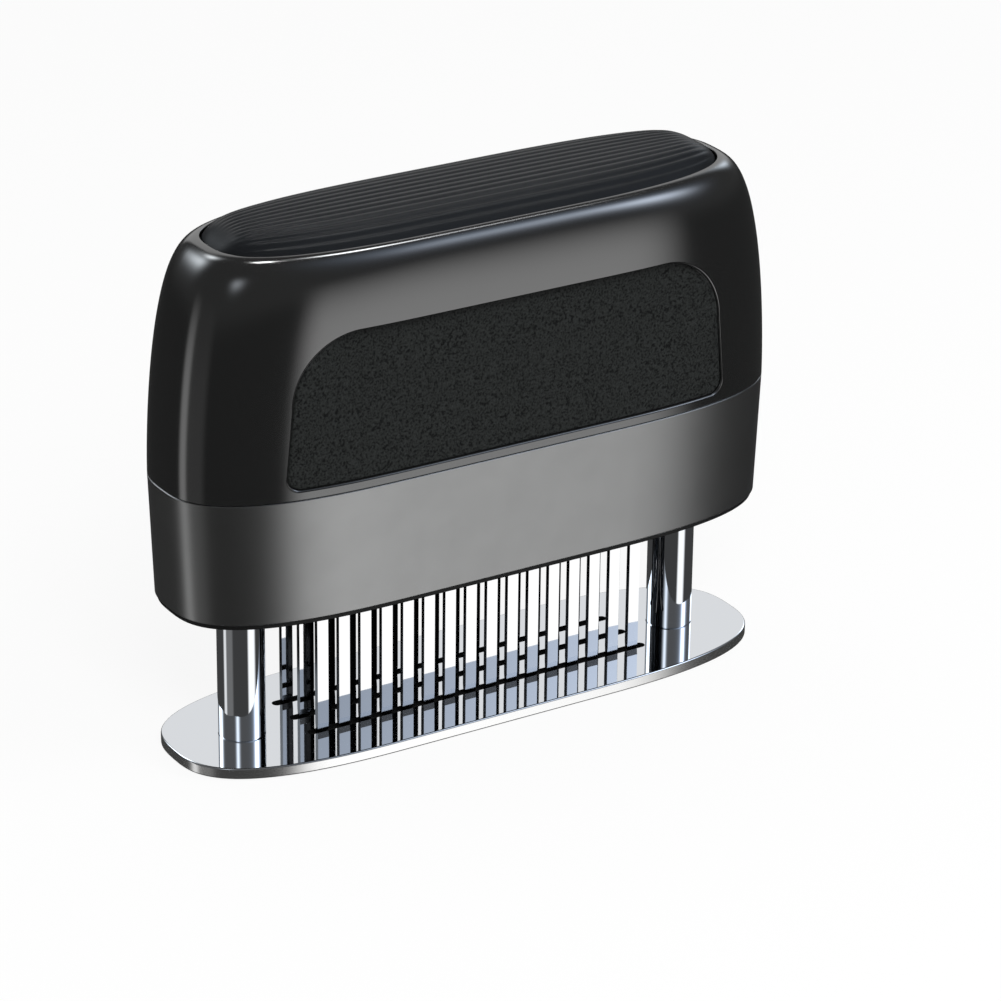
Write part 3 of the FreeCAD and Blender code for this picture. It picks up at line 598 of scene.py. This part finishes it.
def make_foot(finish, wall_finish, slot_painted_shade):
    """Foot plate: bright top, duller edge wall, slot walls painted black as shade, countersunk holes
    below.
    """
    skin = Skin()
    length = PLATE_HALF_LENGTH
    width = PLATE_HALF_WIDTH
    edge = rounded_edge(4, PLATE_EDGE)
    rows = [outline(length, width, rise, inset) for rise, inset in edge]
    add_grid(skin, rows, slot=1)
    side = [outline(length, width, height) for height in (PLATE_TOP / 2, PLATE_TOP - PLATE_EDGE)]
    add_grid(skin, rows[-1:] + side, slot=1)
    top = [outline(length, width, PLATE_TOP - rise, inset) for rise, inset in reversed(edge)]
    add_grid(skin, top)
    low_holes = []
    high_holes = []
    for row in (-1, 0, 1):
        y = row * ROW_SPACING
        loops = [
            slot_loop(y, PLATE_SLOT_REACH + SLOT_EDGE, SLOT_WIDTH / 2 + SLOT_EDGE, PLATE_TOP),
            slot_loop(y, PLATE_SLOT_REACH, SLOT_WIDTH / 2, PLATE_TOP - SLOT_EDGE),
            slot_loop(y, PLATE_SLOT_REACH, SLOT_WIDTH / 2, SLOT_EDGE),
            slot_loop(y, PLATE_SLOT_REACH + SLOT_EDGE, SLOT_WIDTH / 2 + SLOT_EDGE, 0.0),
        ]
        for upper, lower in zip(loops, loops[1:]):
            # Slot walls take slot 2, the painted shadow black: shade inside the slots.
            add_grid(skin, [upper, lower], slot=2)
        high_holes.append(loops[0])
        low_holes.append(loops[-1])
    for sign in (-1, 1):
        x = sign * POST_X
        mouth = ring(x, 0, FOOT_SCREW_HEAD, 0.0)
        throat = ring(x, 0, FOOT_SCREW_HOLE, FOOT_SCREW_HEAD - FOOT_SCREW_HOLE)
        upper = ring(x, 0, FOOT_SCREW_HOLE, PLATE_TOP)
        add_grid(skin, [throat, mouth])
        add_grid(skin, [upper, throat])
        low_holes.append(mouth)
        high_holes.append(upper)
    add_flat(skin, top[-1], high_holes, PLATE_TOP, 1)
    add_flat(skin, rows[0], low_holes, 0.0, -1)
    return skin.build("foot_plate_polished", [finish, wall_finish, slot_painted_shade], "foot", ["foot_plate"])


def make_post(name, side, material):
    """Turned post with small edge breaks."""
    skin = Skin()
    x = side * POST_X
    low = post_low.z
    high = post_high.z
    profile = [
        (POST_BORE, high),
        (POST_RADIUS - POST_TOP_EDGE, high),
        (POST_RADIUS, high - POST_TOP_EDGE),
        (POST_RADIUS, low + POST_FOOT_EDGE),
        (POST_RADIUS - POST_FOOT_EDGE, low),
        (POST_BORE, low),
        (POST_BORE, high),
    ]
    for (r0, z0), (r1, z1) in zip(profile, profile[1:]):
        add_grid(skin, [ring(x, 0, r0, z0, 96), ring(x, 0, r1, z1, 96)], flip=True)
    return skin.build("polished_" + name, [material], "foot", [name])


def make_grip(name, side, node, material):
    """Finger grip: a sheet lying in its scoop, with rolled edges."""
    skin = Skin()
    loops = [grip_outline(-GRIP_GAP - inset) for inset in (0.3, 0.08, 0.0)]
    flat = loops[0]
    step = 1.6
    inner = [(i * step + (0.5 * step if j % 2 else 0.0), GRIP_LOW + j * step)
             for i in range(-33, 34) for j in range(0, 21)]
    inner = [p for p in inner if inside(flat, *p)]

    def place(x, z):
        return Vector((x, side * scoop_distance(x, z), z))

    def normal(x, z):
        d = 0.05
        along = place(x + d, z) - place(x - d, z)
        up = place(x, z + d) - place(x, z - d)
        return along.cross(up).normalized() * (1 if side < 0 else -1)

    add_sheet(skin, flat, [], inner, place, normal)
    rows = [[place(x, z) for x, z in flat]]
    for loop, drop in ((loops[1], 0.08), (loops[2], 0.3), (loops[2], GRIP_PAD)):
        rows.append([place(x, z) - Vector((0, side * drop, 0)) for x, z in loop])
    rows = [list(reversed(row)) for row in rows]
    add_grid(skin, rows, flip=side > 0)
    centre = [(x * 3.0, GRIP_LOW + z * 3.0) for x in range(-17, 18) for z in range(1, 11)]
    centre = [p for p in centre if inside(loops[2], *p)]
    add_sheet(skin, loops[2], [], centre,
              lambda x, z: place(x, z) - Vector((0, side * GRIP_PAD, 0)),
              lambda x, z: Vector((0, -side, 0)))
    return skin.build(name, [material], "handle", [node])


SPRING_WIRE = 1.2
SPRING_RADIUS = (spring_high.x - spring_low.x - SPRING_WIRE) / 2
SPRING_TURNS = 10
SPRING_END_FLATTENING = 0.7


def make_spring(name, side, node, material):
    """Round-wire coil with a closed turn at each end."""
    skin = Skin()
    wire = SPRING_WIRE / 2
    low = spring_low.z + wire
    high = spring_high.z - wire
    steps = 28
    around = 12
    centres = []
    for i in range(SPRING_TURNS * steps + 1):
        turns = i / steps
        in_ends = min(turns, 1.0) + max(turns - SPRING_TURNS + 1, 0.0)
        rise = (turns - in_ends * SPRING_END_FLATTENING) / (SPRING_TURNS - 2 * SPRING_END_FLATTENING)
        angle = 2 * math.pi * turns
        x = side * POST_X + SPRING_RADIUS * math.cos(angle)
        centres.append((angle, Vector((x, SPRING_RADIUS * math.sin(angle), low + (high - low) * rise))))
    rows = []
    for angle, centre in centres:
        out = Vector((math.cos(angle), math.sin(angle), 0))
        row = []
        for k in range(around):
            turn = 2 * math.pi * k / around
            row.append(centre + (out * math.cos(turn) + Vector((0, 0, 1)) * math.sin(turn)) * wire)
        rows.append(row)
    add_grid(skin, rows)
    for row, order in ((rows[0], 1), (rows[-1], -1)):
        normal = Vector((0, -order, 0))
        skin.add(row, [list(range(around))[::order]], [normal] * around)
    piece = skin.build(name, [material], "foot", [node])
    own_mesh(piece)
    return piece


BLADES_PER_ROW = 16
BLADE_THICKNESS = 1.2
BLADE_SLANT = 1.82
BLADE_BEVEL = 3.6
BLADE_EDGE = 0.36
BLADE_HEAD_HEIGHT = 2.0
BLADE_REACH = row_high.x - BLADE_HEAD / 2


def make_blades(name, row, steels_and_shade):
    """A row of flat blades: bright outer faces, inner faces and edges painted dark as shade, a slanted
    point ground on both faces whose outer faces are a ground finish darkened with painted shade.
    """
    skin = Skin()
    tip = row_low.z
    top = row_high.z
    neck = top - BLADE_HEAD_HEIGHT
    half = BLADE_WIDTH / 2
    wide = BLADE_HEAD / 2
    thick = BLADE_THICKNESS / 2
    middle = row * ROW_SPACING
    grind = tip + BLADE_BEVEL
    for index in range(BLADES_PER_ROW):
        x = -BLADE_REACH + 2 * BLADE_REACH * index / (BLADES_PER_ROW - 1)
        first_low = index % 2 == 0

        def depth(z):
            part = min(max((z - tip) / BLADE_BEVEL, 0.0), 1.0)
            return BLADE_EDGE / 2 + (thick - BLADE_EDGE / 2) * part

        def add(corners, slot):
            a, b, c = corners[:3]
            normal = (b - a).cross(c - a).normalized()
            skin.add(corners, [list(range(len(corners)))], [normal] * len(corners), slot)

        low_left = tip if first_low else tip + BLADE_SLANT
        low_right = tip + BLADE_SLANT if first_low else tip
        for side in (-1, 1):
            bands = [
                [(-half, low_left), (half, low_right), (half, grind), (-half, grind)],
                [(-half, grind), (half, grind), (half, neck), (-half, neck)],
                [(-wide, neck), (wide, neck), (wide, top), (-wide, top)],
            ]
            # Faces turned toward the next row take slot 3, steel painted near-black as shade between the
            # rows.
            outer = row == side or index == (0 if side < 0 else BLADES_PER_ROW - 1)
            # The ground point on outer faces takes slot 2: a rougher ground finish whose darker colour
            # is painted shade for a bevel facing down.
            for band, finish in zip(bands, (2, 0, 0)):
                corners = [Vector((x + across, middle + side * depth(z), z)) for across, z in band]
                add(corners if side < 0 else corners[::-1], finish if outer else 3)
        # Side edges, point and head ends take slot 1, steel painted near-black as shade on the sides.
        for side in (-1, 1):
            low = low_left if side < 0 else low_right
            column = [(half, low, grind), (half, grind, neck), (wide, neck, top)]
            for across, start, end in column:
                near = x + side * across
                corners = [
                    Vector((near, middle - depth(start), start)),
                    Vector((near, middle + depth(start), start)),
                    Vector((near, middle + depth(end), end)),
                    Vector((near, middle - depth(end), end)),
                ]
                add(corners if side > 0 else corners[::-1], 1)
        point = [
            Vector((x - half, middle - depth(low_left), low_left)),
            Vector((x - half, middle + depth(low_left), low_left)),
            Vector((x + half, middle + depth(low_right), low_right)),
            Vector((x + half, middle - depth(low_right), low_right)),
        ]
        add(point, 1)
        for height, order in ((neck, 1), (top, -1)):
            corners = [(-wide, -thick), (-wide, thick), (wide, thick), (wide, -thick)]
            corners = [Vector((x + across, middle + back, height)) for across, back in corners]
            add(corners[::order], 1)
    return skin.build(name + "_strips", steels_and_shade, "handle", [name])


PALM_RISE = palm_high.z - RIM
PALM_EDGE = PALM_GAP + 0.05
PALM_EDGE_DEPTH = 0.3
PALM_END_FULLNESS = 5.5
PALM_END_FALL = 0.1
PALM_BOTTOM = PALM_SEAT + 0.02
RIB_COUNT = 15
RIB_DEPTH = 0.22
# Rows across the palm rest crowd towards its long edges
PALM_CROWDING = 0.55
PALM_SPREAD = 0.999


def palm_half_width(x):
    """Half width of the palm rest at a place along it."""
    reach = END_REACH - PALM_EDGE
    start = RIM_HALF_LENGTH - PALM_EDGE - reach
    past = min(max(abs(x) - start, 0.0) / reach, 1.0)
    return (RIM_HALF_WIDTH - PALM_EDGE) * (1 - past ** END_FULLNESS) ** (1 / END_FULLNESS)


def palm_point(part_x, part_y):
    """Point on the palm rest: part_x from end to end, part_y from front to back."""
    half_length = RIM_HALF_LENGTH - PALM_EDGE
    x = half_length * math.sin(part_x * math.pi / 2)
    width = palm_half_width(x)
    y = width * part_y
    from_end = (half_length - abs(x)) / RIM_HALF_WIDTH
    end_drop = 1 - (1 - min(from_end, 1.0)) ** PALM_END_FULLNESS
    crown = (1 - abs(part_y) ** 4) * end_drop - PALM_END_FALL * (x / half_length) ** 4
    fade = smooth_step(0.1, 0.6, from_end) * (1 - smooth_step(0.9, 1.0, abs(part_y)))
    wave = 0.5 - 0.5 * math.cos(2 * math.pi * part_y * RIB_COUNT / 2)
    height = RIM - PALM_EDGE_DEPTH + (PALM_RISE + PALM_EDGE_DEPTH) * crown
    return Vector((x, y, height - RIB_DEPTH * fade * wave ** 1.5))


def make_palm(material):
    """Palm rest: a crowned pad with ribs along it that fade out at its ends and edges."""
    skin = Skin()
    across = 240
    along = 120
    rows = []
    quarter = math.pi / 2 * PALM_SPREAD
    for i in range(across + 1):
        even = 2 * i / across - 1
        crowded = math.sin(even * quarter) / math.sin(quarter)
        part_y = PALM_CROWDING * crowded + (1 - PALM_CROWDING) * even
        rows.append([palm_point(2 * j / along - 1, part_y) for j in range(along + 1)])
    add_grid(skin, rows, closed=False)
    edge = rows[0] + list(reversed(rows[-1]))[1:-1]
    low = [Vector((p.x, p.y, PALM_BOTTOM)) for p in edge]
    add_grid(skin, [low, edge])
    add_flat(skin, low, [], PALM_BOTTOM, -1)
    return skin.build("palm_rest_ribbed", [material], "handle", ["palm_rest"])


# Materials

def material(name, colour, roughness=0.4, metallic=0.0, ior=1.5):
    made = bpy.data.materials.new(name)
    made.use_nodes = True
    shader = made.node_tree.nodes["Principled BSDF"]
    shader.inputs["Base Color"].default_value = (*colour, 1.0)
    shader.inputs["Roughness"].default_value = roughness
    shader.inputs["Metallic"].default_value = metallic
    shader.inputs["IOR"].default_value = ior
    return made, made.node_tree, shader


def noise(tree, scale, detail=3.0, stretch=None):
    coordinates = tree.nodes.new("ShaderNodeTexCoord")
    texture = tree.nodes.new("ShaderNodeTexNoise")
    texture.inputs["Scale"].default_value = scale
    texture.inputs["Detail"].default_value = detail
    source = coordinates.outputs["Object"]
    if stretch:
        mapping = tree.nodes.new("ShaderNodeMapping")
        mapping.inputs["Scale"].default_value = stretch
        tree.links.new(source, mapping.inputs["Vector"])
        source = mapping.outputs["Vector"]
    tree.links.new(source, texture.inputs["Vector"])
    return texture.outputs["Fac"]


def ramp(tree, source, stops):
    node = tree.nodes.new("ShaderNodeValToRGB")
    elements = node.color_ramp.elements
    while len(elements) < len(stops):
        elements.new(0.5)
    for element, (place, colour) in zip(elements, stops):
        element.position = place
        element.color = (*colour, 1.0)
    tree.links.new(source, node.inputs["Fac"])
    return node.outputs["Color"]


def spread(tree, source, low, high):
    node = tree.nodes.new("ShaderNodeMapRange")
    node.inputs["To Min"].default_value = low
    node.inputs["To Max"].default_value = high
    tree.links.new(source, node.inputs["Value"])
    return node.outputs["Result"]


def bump(tree, shader, source, strength, distance):
    node = tree.nodes.new("ShaderNodeBump")
    node.inputs["Strength"].default_value = strength
    node.inputs["Distance"].default_value = distance
    tree.links.new(source, node.inputs["Height"])
    tree.links.new(node.outputs["Normal"], shader.inputs["Normal"])


def gloss_black():
    made, tree, shader = material("gloss_black", (0.0045, 0.0048, 0.0047), 0.13, ior=2.2)
    haze = noise(tree, 90.0, 2.0)
    tree.links.new(spread(tree, haze, 0.11, 0.15), shader.inputs["Roughness"])
    return made


def collar_grey():
    made, tree, shader = material("collar_grey", (0.345, 0.347, 0.346), 0.33, metallic=1.0)
    haze = noise(tree, 160.0, 3.0)
    tree.links.new(spread(tree, haze, 0.29, 0.35), shader.inputs["Roughness"])
    return made


def grip_rubber():
    made, tree, shader = material("grip_rubber", (0.014, 0.0155, 0.0148), 0.62, ior=1.4)
    shader.inputs["Specular IOR Level"].default_value = 0.35
    grain = noise(tree, 2100.0, 3.0)
    stops = [
        (0.38, (0.0015, 0.0017, 0.0017)),
        (0.47, (0.0120, 0.0135, 0.0127)),
        (0.7, (0.020, 0.022, 0.0215)),
    ]
    tree.links.new(ramp(tree, grain, stops), shader.inputs["Base Color"])
    bump(tree, shader, grain, 0.8, 0.0004)
    return made


def palm_black():
    made, tree, shader = material("palm_black", (0.0075, 0.0085, 0.010), 0.36, ior=1.45)
    shader.inputs["Specular IOR Level"].default_value = 0.22
    grain = noise(tree, 2400.0, 3.0)
    tree.links.new(spread(tree, grain, 0.3, 0.44), shader.inputs["Roughness"])
    bump(tree, shader, grain, 0.12, 0.00005)
    return made


def steel_finish(name, colour, rough):
    made, tree, shader = material(name, colour, 0.05, metallic=1.0)
    wipe = noise(tree, 60.0, 4.0, (0.3, 1.0, 1.0))
    tree.links.new(spread(tree, wipe, *rough), shader.inputs["Roughness"])
    return made


def plain_plastic(name, colour, roughness):
    made, tree, shader = material(name, colour, roughness)
    grain = noise(tree, 900.0, 3.0)
    tree.links.new(spread(tree, grain, roughness - 0.06, roughness + 0.08), shader.inputs["Roughness"])
    bump(tree, shader, grain, 0.15, 0.00005)
    return made


# Polished steel for plate and posts; its faint blue cast is a painted reflection of a bluish studio
# card.
steel = steel_finish("polished_steel", (0.82, 0.845, 0.88), (0.02, 0.05))
blade_steel = steel_finish("blade_steel", (0.86, 0.865, 0.875), (0.02, 0.06))
plate_wall_steel = steel_finish("plate_wall_steel", (0.92, 0.92, 0.915), (0.19, 0.26))
# Ground finish: the rougher grinding is real; the darker colour is painted shade for a downward-facing
# bevel.
ground_steel_painted_shade = steel_finish("ground_steel_painted_shade", (0.40, 0.405, 0.415), (0.12, 0.2))
# Painted shade: near-black steel for blade faces that look into the next row.
painted_shade_steel = steel_finish("painted_shade_steel", (0.035, 0.036, 0.038), (0.1, 0.2))
# Painted shadow: a near-black laid in slots, openings and undersides that are only in shade.
shadow_black = plain_plastic("shadow_black", (0.003, 0.003, 0.003), 0.6)
# Painted shade: a near-black copy of the blade steel for the blade's sides and ends.
blade_edge_painted_shade = steel_finish("blade_edge_painted_shade", (0.04, 0.042, 0.045), (0.3, 0.42))
fastener_steel = steel_finish("fastener_steel", (0.55, 0.56, 0.58), (0.18, 0.28))
spring_steel = steel_finish("spring_steel", (0.45, 0.46, 0.48), (0.2, 0.3))
natural_plastic = plain_plastic("bush_plastic", (0.70, 0.69, 0.64), 0.45)
block_plastic = plain_plastic("block_plastic", (0.02, 0.02, 0.02), 0.5)

CARRIED = {
    "foot_screws": fastener_steel,
    "post_stop_washers": fastener_steel,
    "post_top_screws": fastener_steel,
    "guide_bush_left": natural_plastic,
    "guide_bush_right": natural_plastic,
    "spring_cup_left": natural_plastic,
    "spring_cup_right": natural_plastic,
    "blade_block": block_plastic,
    "blade_clamp": fastener_steel,
    "clamp_screws": fastener_steel,
    "housing_screws": fastener_steel,
}
for node, finish in CARRIED.items():
    mesh = nodes[node].data
    if not mesh.materials:
        mesh.materials.append(finish)
    for holder in nodes[node].material_slots:
        holder.material = finish

shell_material = gloss_black()
grip_material = grip_rubber()
shell = make_shell(shell_material)
# The collar's second material is painted shade for its underside, base lip and openings.
collar = make_collar(collar_grey(), shadow_black)
foot = make_foot(steel, plate_wall_steel, shadow_black)
for name, side in (("post_left", -1), ("post_right", 1)):
    make_post(name, side, steel)
# Blade materials by slot: bright steel, edges in painted shade, the ground point darkened with painted
# shade, inner faces in painted shade.
blade_steels_and_shade = [blade_steel, blade_edge_painted_shade, ground_steel_painted_shade, painted_shade_steel]
for name, row in (("front", -1), ("middle", 0), ("rear", 1)):
    make_blades("blade_row_" + name, row, blade_steels_and_shade)
for name, side in (("left", -1), ("right", 1)):
    spring = make_spring("coil_spring_" + name, side, "return_spring_" + name, spring_steel)
front_grip = make_grip("front_grip_pad", -1, "front_grip", grip_material)
rear_grip = make_grip("rear_grip_pad", 1, "rear_grip", grip_material)
palm = make_palm(palm_black())


# Floor and surroundings

def light_path_mix(tree, lit, plain):
    """Plain white to camera, gloss and glass; lit for everything else."""
    path = tree.nodes.new("ShaderNodeLightPath")
    first = tree.nodes.new("ShaderNodeMath")
    first.operation = "MAXIMUM"
    second = tree.nodes.new("ShaderNodeMath")
    second.operation = "MAXIMUM"
    tree.links.new(path.outputs["Is Camera Ray"], first.inputs[0])
    tree.links.new(path.outputs["Is Glossy Ray"], first.inputs[1])
    tree.links.new(first.outputs[0], second.inputs[0])
    tree.links.new(path.outputs["Is Transmission Ray"], second.inputs[1])
    mix = tree.nodes.new("ShaderNodeMixShader")
    tree.links.new(second.outputs[0], mix.inputs["Fac"])
    tree.links.new(lit, mix.inputs[1])
    tree.links.new(plain, mix.inputs[2])
    return mix.outputs["Shader"]


FLOOR_SIZE = 6.0
FLOOR_GAP = 0.0002
FLOOR_GLOW = 0.88
WORLD_FILL = 0.55


def make_floor():
    mesh = bpy.data.meshes.new("floor")
    half = FLOOR_SIZE / 2
    corners = [(-half, -half, 0), (half, -half, 0), (half, half, 0), (-half, half, 0)]
    mesh.from_pydata(corners, [], [(0, 1, 2, 3)])
    floor = bpy.data.objects.new("floor", mesh)
    floor.location.z = -FLOOR_GAP
    bpy.context.scene.collection.objects.link(floor)
    made = bpy.data.materials.new("floor_white")
    made.use_nodes = True
    tree = made.node_tree
    tree.nodes.clear()
    output = tree.nodes.new("ShaderNodeOutputMaterial")
    diffuse = tree.nodes.new("ShaderNodeBsdfDiffuse")
    diffuse.inputs["Color"].default_value = (0.9, 0.9, 0.9, 1)
    glow = tree.nodes.new("ShaderNodeEmission")
    glow.inputs["Strength"].default_value = 1.0
    share = tree.nodes.new("ShaderNodeMixShader")
    share.inputs["Fac"].default_value = FLOOR_GLOW
    tree.links.new(diffuse.outputs[0], share.inputs[1])
    tree.links.new(glow.outputs[0], share.inputs[2])
    tree.links.new(light_path_mix(tree, diffuse.outputs[0], share.outputs[0]), output.inputs["Surface"])
    mesh.materials.append(made)
    floor.visible_glossy = False


def smooth(tree, source, low, high, start=0.0, end=1.0):
    """A value that eases from start to end as its source goes from low to high."""
    node = tree.nodes.new("ShaderNodeMapRange")
    node.interpolation_type = "SMOOTHSTEP"
    node.inputs["From Min"].default_value = low
    node.inputs["From Max"].default_value = high
    node.inputs["To Min"].default_value = start
    node.inputs["To Max"].default_value = end
    tree.links.new(source, node.inputs["Value"])
    return node.outputs["Result"]


def math_node(tree, operation, first, second=None):
    node = tree.nodes.new("ShaderNodeMath")
    node.operation = operation
    for socket, source in zip(node.inputs, (first, second)):
        if isinstance(source, (int, float)):
            socket.default_value = source
        elif source:
            tree.links.new(source, socket)
    return node.outputs[0]


def product(tree, *sources):
    result = sources[0]
    for source in sources[1:]:
        result = math_node(tree, "MULTIPLY", result, source)
    return result


def between(tree, azimuth, start, full, fade, end):
    """Two factors that hold a light between azimuths, given in degrees."""
    start, full, fade, end = (math.radians(angle) for angle in (start, full, fade, end))
    return smooth(tree, azimuth, start, full), smooth(tree, azimuth, fade, end, 1.0, 0.0)


def way(azimuth, elevation):
    """Direction from degrees: azimuth 0 is the front, 90 the right end."""
    across = math.cos(math.radians(elevation))
    turn = math.radians(azimuth)
    return (math.sin(turn) * across, -math.cos(turn) * across, math.sin(math.radians(elevation)))


# Soft boxes of the studio, seen in gloss: azimuth, elevation, spread in degrees, strength, colour
SOFT_BOXES = [
    (48, 31, 7.0, 3.2, (0.9, 1.0, 1.17)),
    (46, 42, 13.0, 0.5, (0.78, 0.96, 1.25)),
    (-149, 29, 8.0, 3.4, (0.93, 1.0, 1.06)),
    (-167, 46, 5.0, 5.0, (0.95, 1.0, 1.04)),
    (-48, 28, 5.0, 1.3, (0.93, 1.0, 1.08)),
    (140, 83, 2.2, 40.0, (1.0, 1.0, 1.0)),
    (106, 66, 3.2, 16.0, (0.98, 1.0, 1.02)),
    (119, 25, 6.0, 2.6, (0.9, 1.0, 1.12)),
]
# Bands of white seen below the horizon: azimuths where each eases in and out, strength
LOW_BANDS = [
    (1.0, 12.0, 34.0, 48.0, 1.15),
    (-121.0, -112.0, -107.0, -98.0, 0.8),
    (-112.0, -100.0, -74.0, -62.0, 0.12),
]
# A white card behind on the right: the same azimuths, heights it eases in and out at, strength
BACK_CARD = (112.0, 136.0, 172.0, 179.0)
BACK_CARD_HEIGHTS = (0.0, 0.16, 0.56, 0.74)
BACK_CARD_STRENGTH = 0.72
LOW_DARK = 0.05
HIGH_DARK = 0.1


def studio_gloss(tree):
    """What gloss and metal see of the studio: dark flags, white bands and soft boxes."""
    coordinates = tree.nodes.new("ShaderNodeTexCoord")
    direction = coordinates.outputs["Generated"]
    parts = tree.nodes.new("ShaderNodeSeparateXYZ")
    tree.links.new(direction, parts.inputs["Vector"])
    forward = math_node(tree, "MULTIPLY", parts.outputs["Y"], -1.0)
    azimuth = math_node(tree, "ARCTAN2", parts.outputs["X"], forward)
    height = parts.outputs["Z"]
    total = smooth(tree, height, -0.12, 0.1, LOW_DARK, HIGH_DARK)
    for start, full, fade, end, strength in LOW_BANDS:
        low = product(tree, smooth(tree, height, -0.3, 0.22, strength, 0.0),
                      smooth(tree, height, -0.8, -0.6))
        sides = between(tree, azimuth, start, full, fade, end)
        total = math_node(tree, "ADD", total, product(tree, low, *sides))
    foot, full, fade, top = BACK_CARD_HEIGHTS
    back = product(tree, *between(tree, azimuth, *BACK_CARD),
                   smooth(tree, height, foot, full, 0.0, BACK_CARD_STRENGTH),
                   smooth(tree, height, fade, top, 1.0, 0.0))
    total = math_node(tree, "ADD", total, back)
    colour = tree.nodes.new("ShaderNodeCombineXYZ")
    for socket in colour.inputs:
        tree.links.new(total, socket)
    result = colour.outputs[0]
    for turn, rise, spread_angle, strength, tint in SOFT_BOXES:
        facing = tree.nodes.new("ShaderNodeVectorMath")
        facing.operation = "DOT_PRODUCT"
        facing.inputs[1].default_value = way(turn, rise)
        tree.links.new(direction, facing.inputs[0])
        away = math_node(tree, "SUBTRACT", facing.outputs["Value"], 1.0)
        falloff = math_node(tree, "DIVIDE", away, math.radians(spread_angle) ** 2)
        lobe = math_node(tree, "EXPONENT", falloff)
        light = tree.nodes.new("ShaderNodeVectorMath")
        light.operation = "MULTIPLY_ADD"
        light.inputs[1].default_value = [strength * part for part in tint]
        tree.links.new(lobe, light.inputs[0])
        tree.links.new(result, light.inputs[2])
        result = light.outputs[0]
    return result


def make_world():
    world = bpy.data.worlds.new("studio")
    bpy.context.scene.world = world
    world.cycles.sampling_method = "NONE"
    world.use_nodes = True
    tree = world.node_tree
    tree.nodes.clear()
    output = tree.nodes.new("ShaderNodeOutputWorld")
    fill = tree.nodes.new("ShaderNodeBackground")
    fill.inputs["Color"].default_value = (1, 1, 1, 1)
    fill.inputs["Strength"].default_value = WORLD_FILL
    plain = tree.nodes.new("ShaderNodeBackground")
    plain.inputs["Color"].default_value = (1, 1, 1, 1)
    gloss = tree.nodes.new("ShaderNodeBackground")
    tree.links.new(studio_gloss(tree), gloss.inputs["Color"])
    path = tree.nodes.new("ShaderNodeLightPath")
    seen = math_node(tree, "MAXIMUM", path.outputs["Is Camera Ray"], path.outputs["Is Transmission Ray"])
    first = tree.nodes.new("ShaderNodeMixShader")
    tree.links.new(seen, first.inputs["Fac"])
    tree.links.new(fill.outputs[0], first.inputs[1])
    tree.links.new(plain.outputs[0], first.inputs[2])
    second = tree.nodes.new("ShaderNodeMixShader")
    tree.links.new(path.outputs["Is Glossy Ray"], second.inputs["Fac"])
    tree.links.new(first.outputs[0], second.inputs[1])
    tree.links.new(gloss.outputs[0], second.inputs[2])
    tree.links.new(second.outputs[0], output.inputs["Surface"])


LAMP_SIZE = 0.5
LAMP_TARGET = Vector((0, 0, 0.06))


def area_lamp(name, place, power):
    lamp = bpy.data.lights.new(name, "AREA")
    lamp.energy = power
    lamp.size = LAMP_SIZE
    item = bpy.data.objects.new(name, lamp)
    item.location = place
    item.visible_glossy = False
    item.rotation_euler = (LAMP_TARGET - Vector(place)).to_track_quat("-Z", "Y").to_euler()
    bpy.context.scene.collection.objects.link(item)


# Camera at the photograph's angle, in radians and metres, found from the posts, slots and outlines

CAMERA_AZIMUTH = -0.55631
CAMERA_ELEVATION = 0.42264
CAMERA_ROLL = 0.012234
CAMERA_DISTANCE = 0.91963
CAMERA_TARGET = Vector((0.009592, 0.0, 0.041700))
FOCAL_PIXELS = 4269.9
FRAME_PIXELS = 1001
SENSOR = 36.0


def make_camera():
    across = math.cos(CAMERA_ELEVATION)
    back = Vector((
        math.sin(CAMERA_AZIMUTH) * across,
        -math.cos(CAMERA_AZIMUTH) * across,
        math.sin(CAMERA_ELEVATION),
    ))
    right = (-back).cross(Vector((0, 0, 1))).normalized()
    up = right.cross(-back)
    cosine = math.cos(CAMERA_ROLL)
    sine = math.sin(CAMERA_ROLL)
    right, up = right * cosine + up * sine, up * cosine - right * sine
    data = bpy.data.cameras.new("camera")
    data.sensor_width = SENSOR
    data.lens = FOCAL_PIXELS * SENSOR / FRAME_PIXELS
    data.clip_start = 0.01
    camera = bpy.data.objects.new("camera", data)
    turn = Matrix((right, up, back)).transposed().to_4x4()
    camera.matrix_world = Matrix.Translation(CAMERA_TARGET + back * CAMERA_DISTANCE) @ turn
    bpy.context.scene.collection.objects.link(camera)
    bpy.context.scene.camera = camera


make_floor()
make_world()
area_lamp("key", (-0.35, -0.9, 0.9), 9.0)
area_lamp("fill", (0.8, -0.5, 0.5), 4.0)
make_camera()
bpy.context.scene.view_settings.view_transform = "Standard"
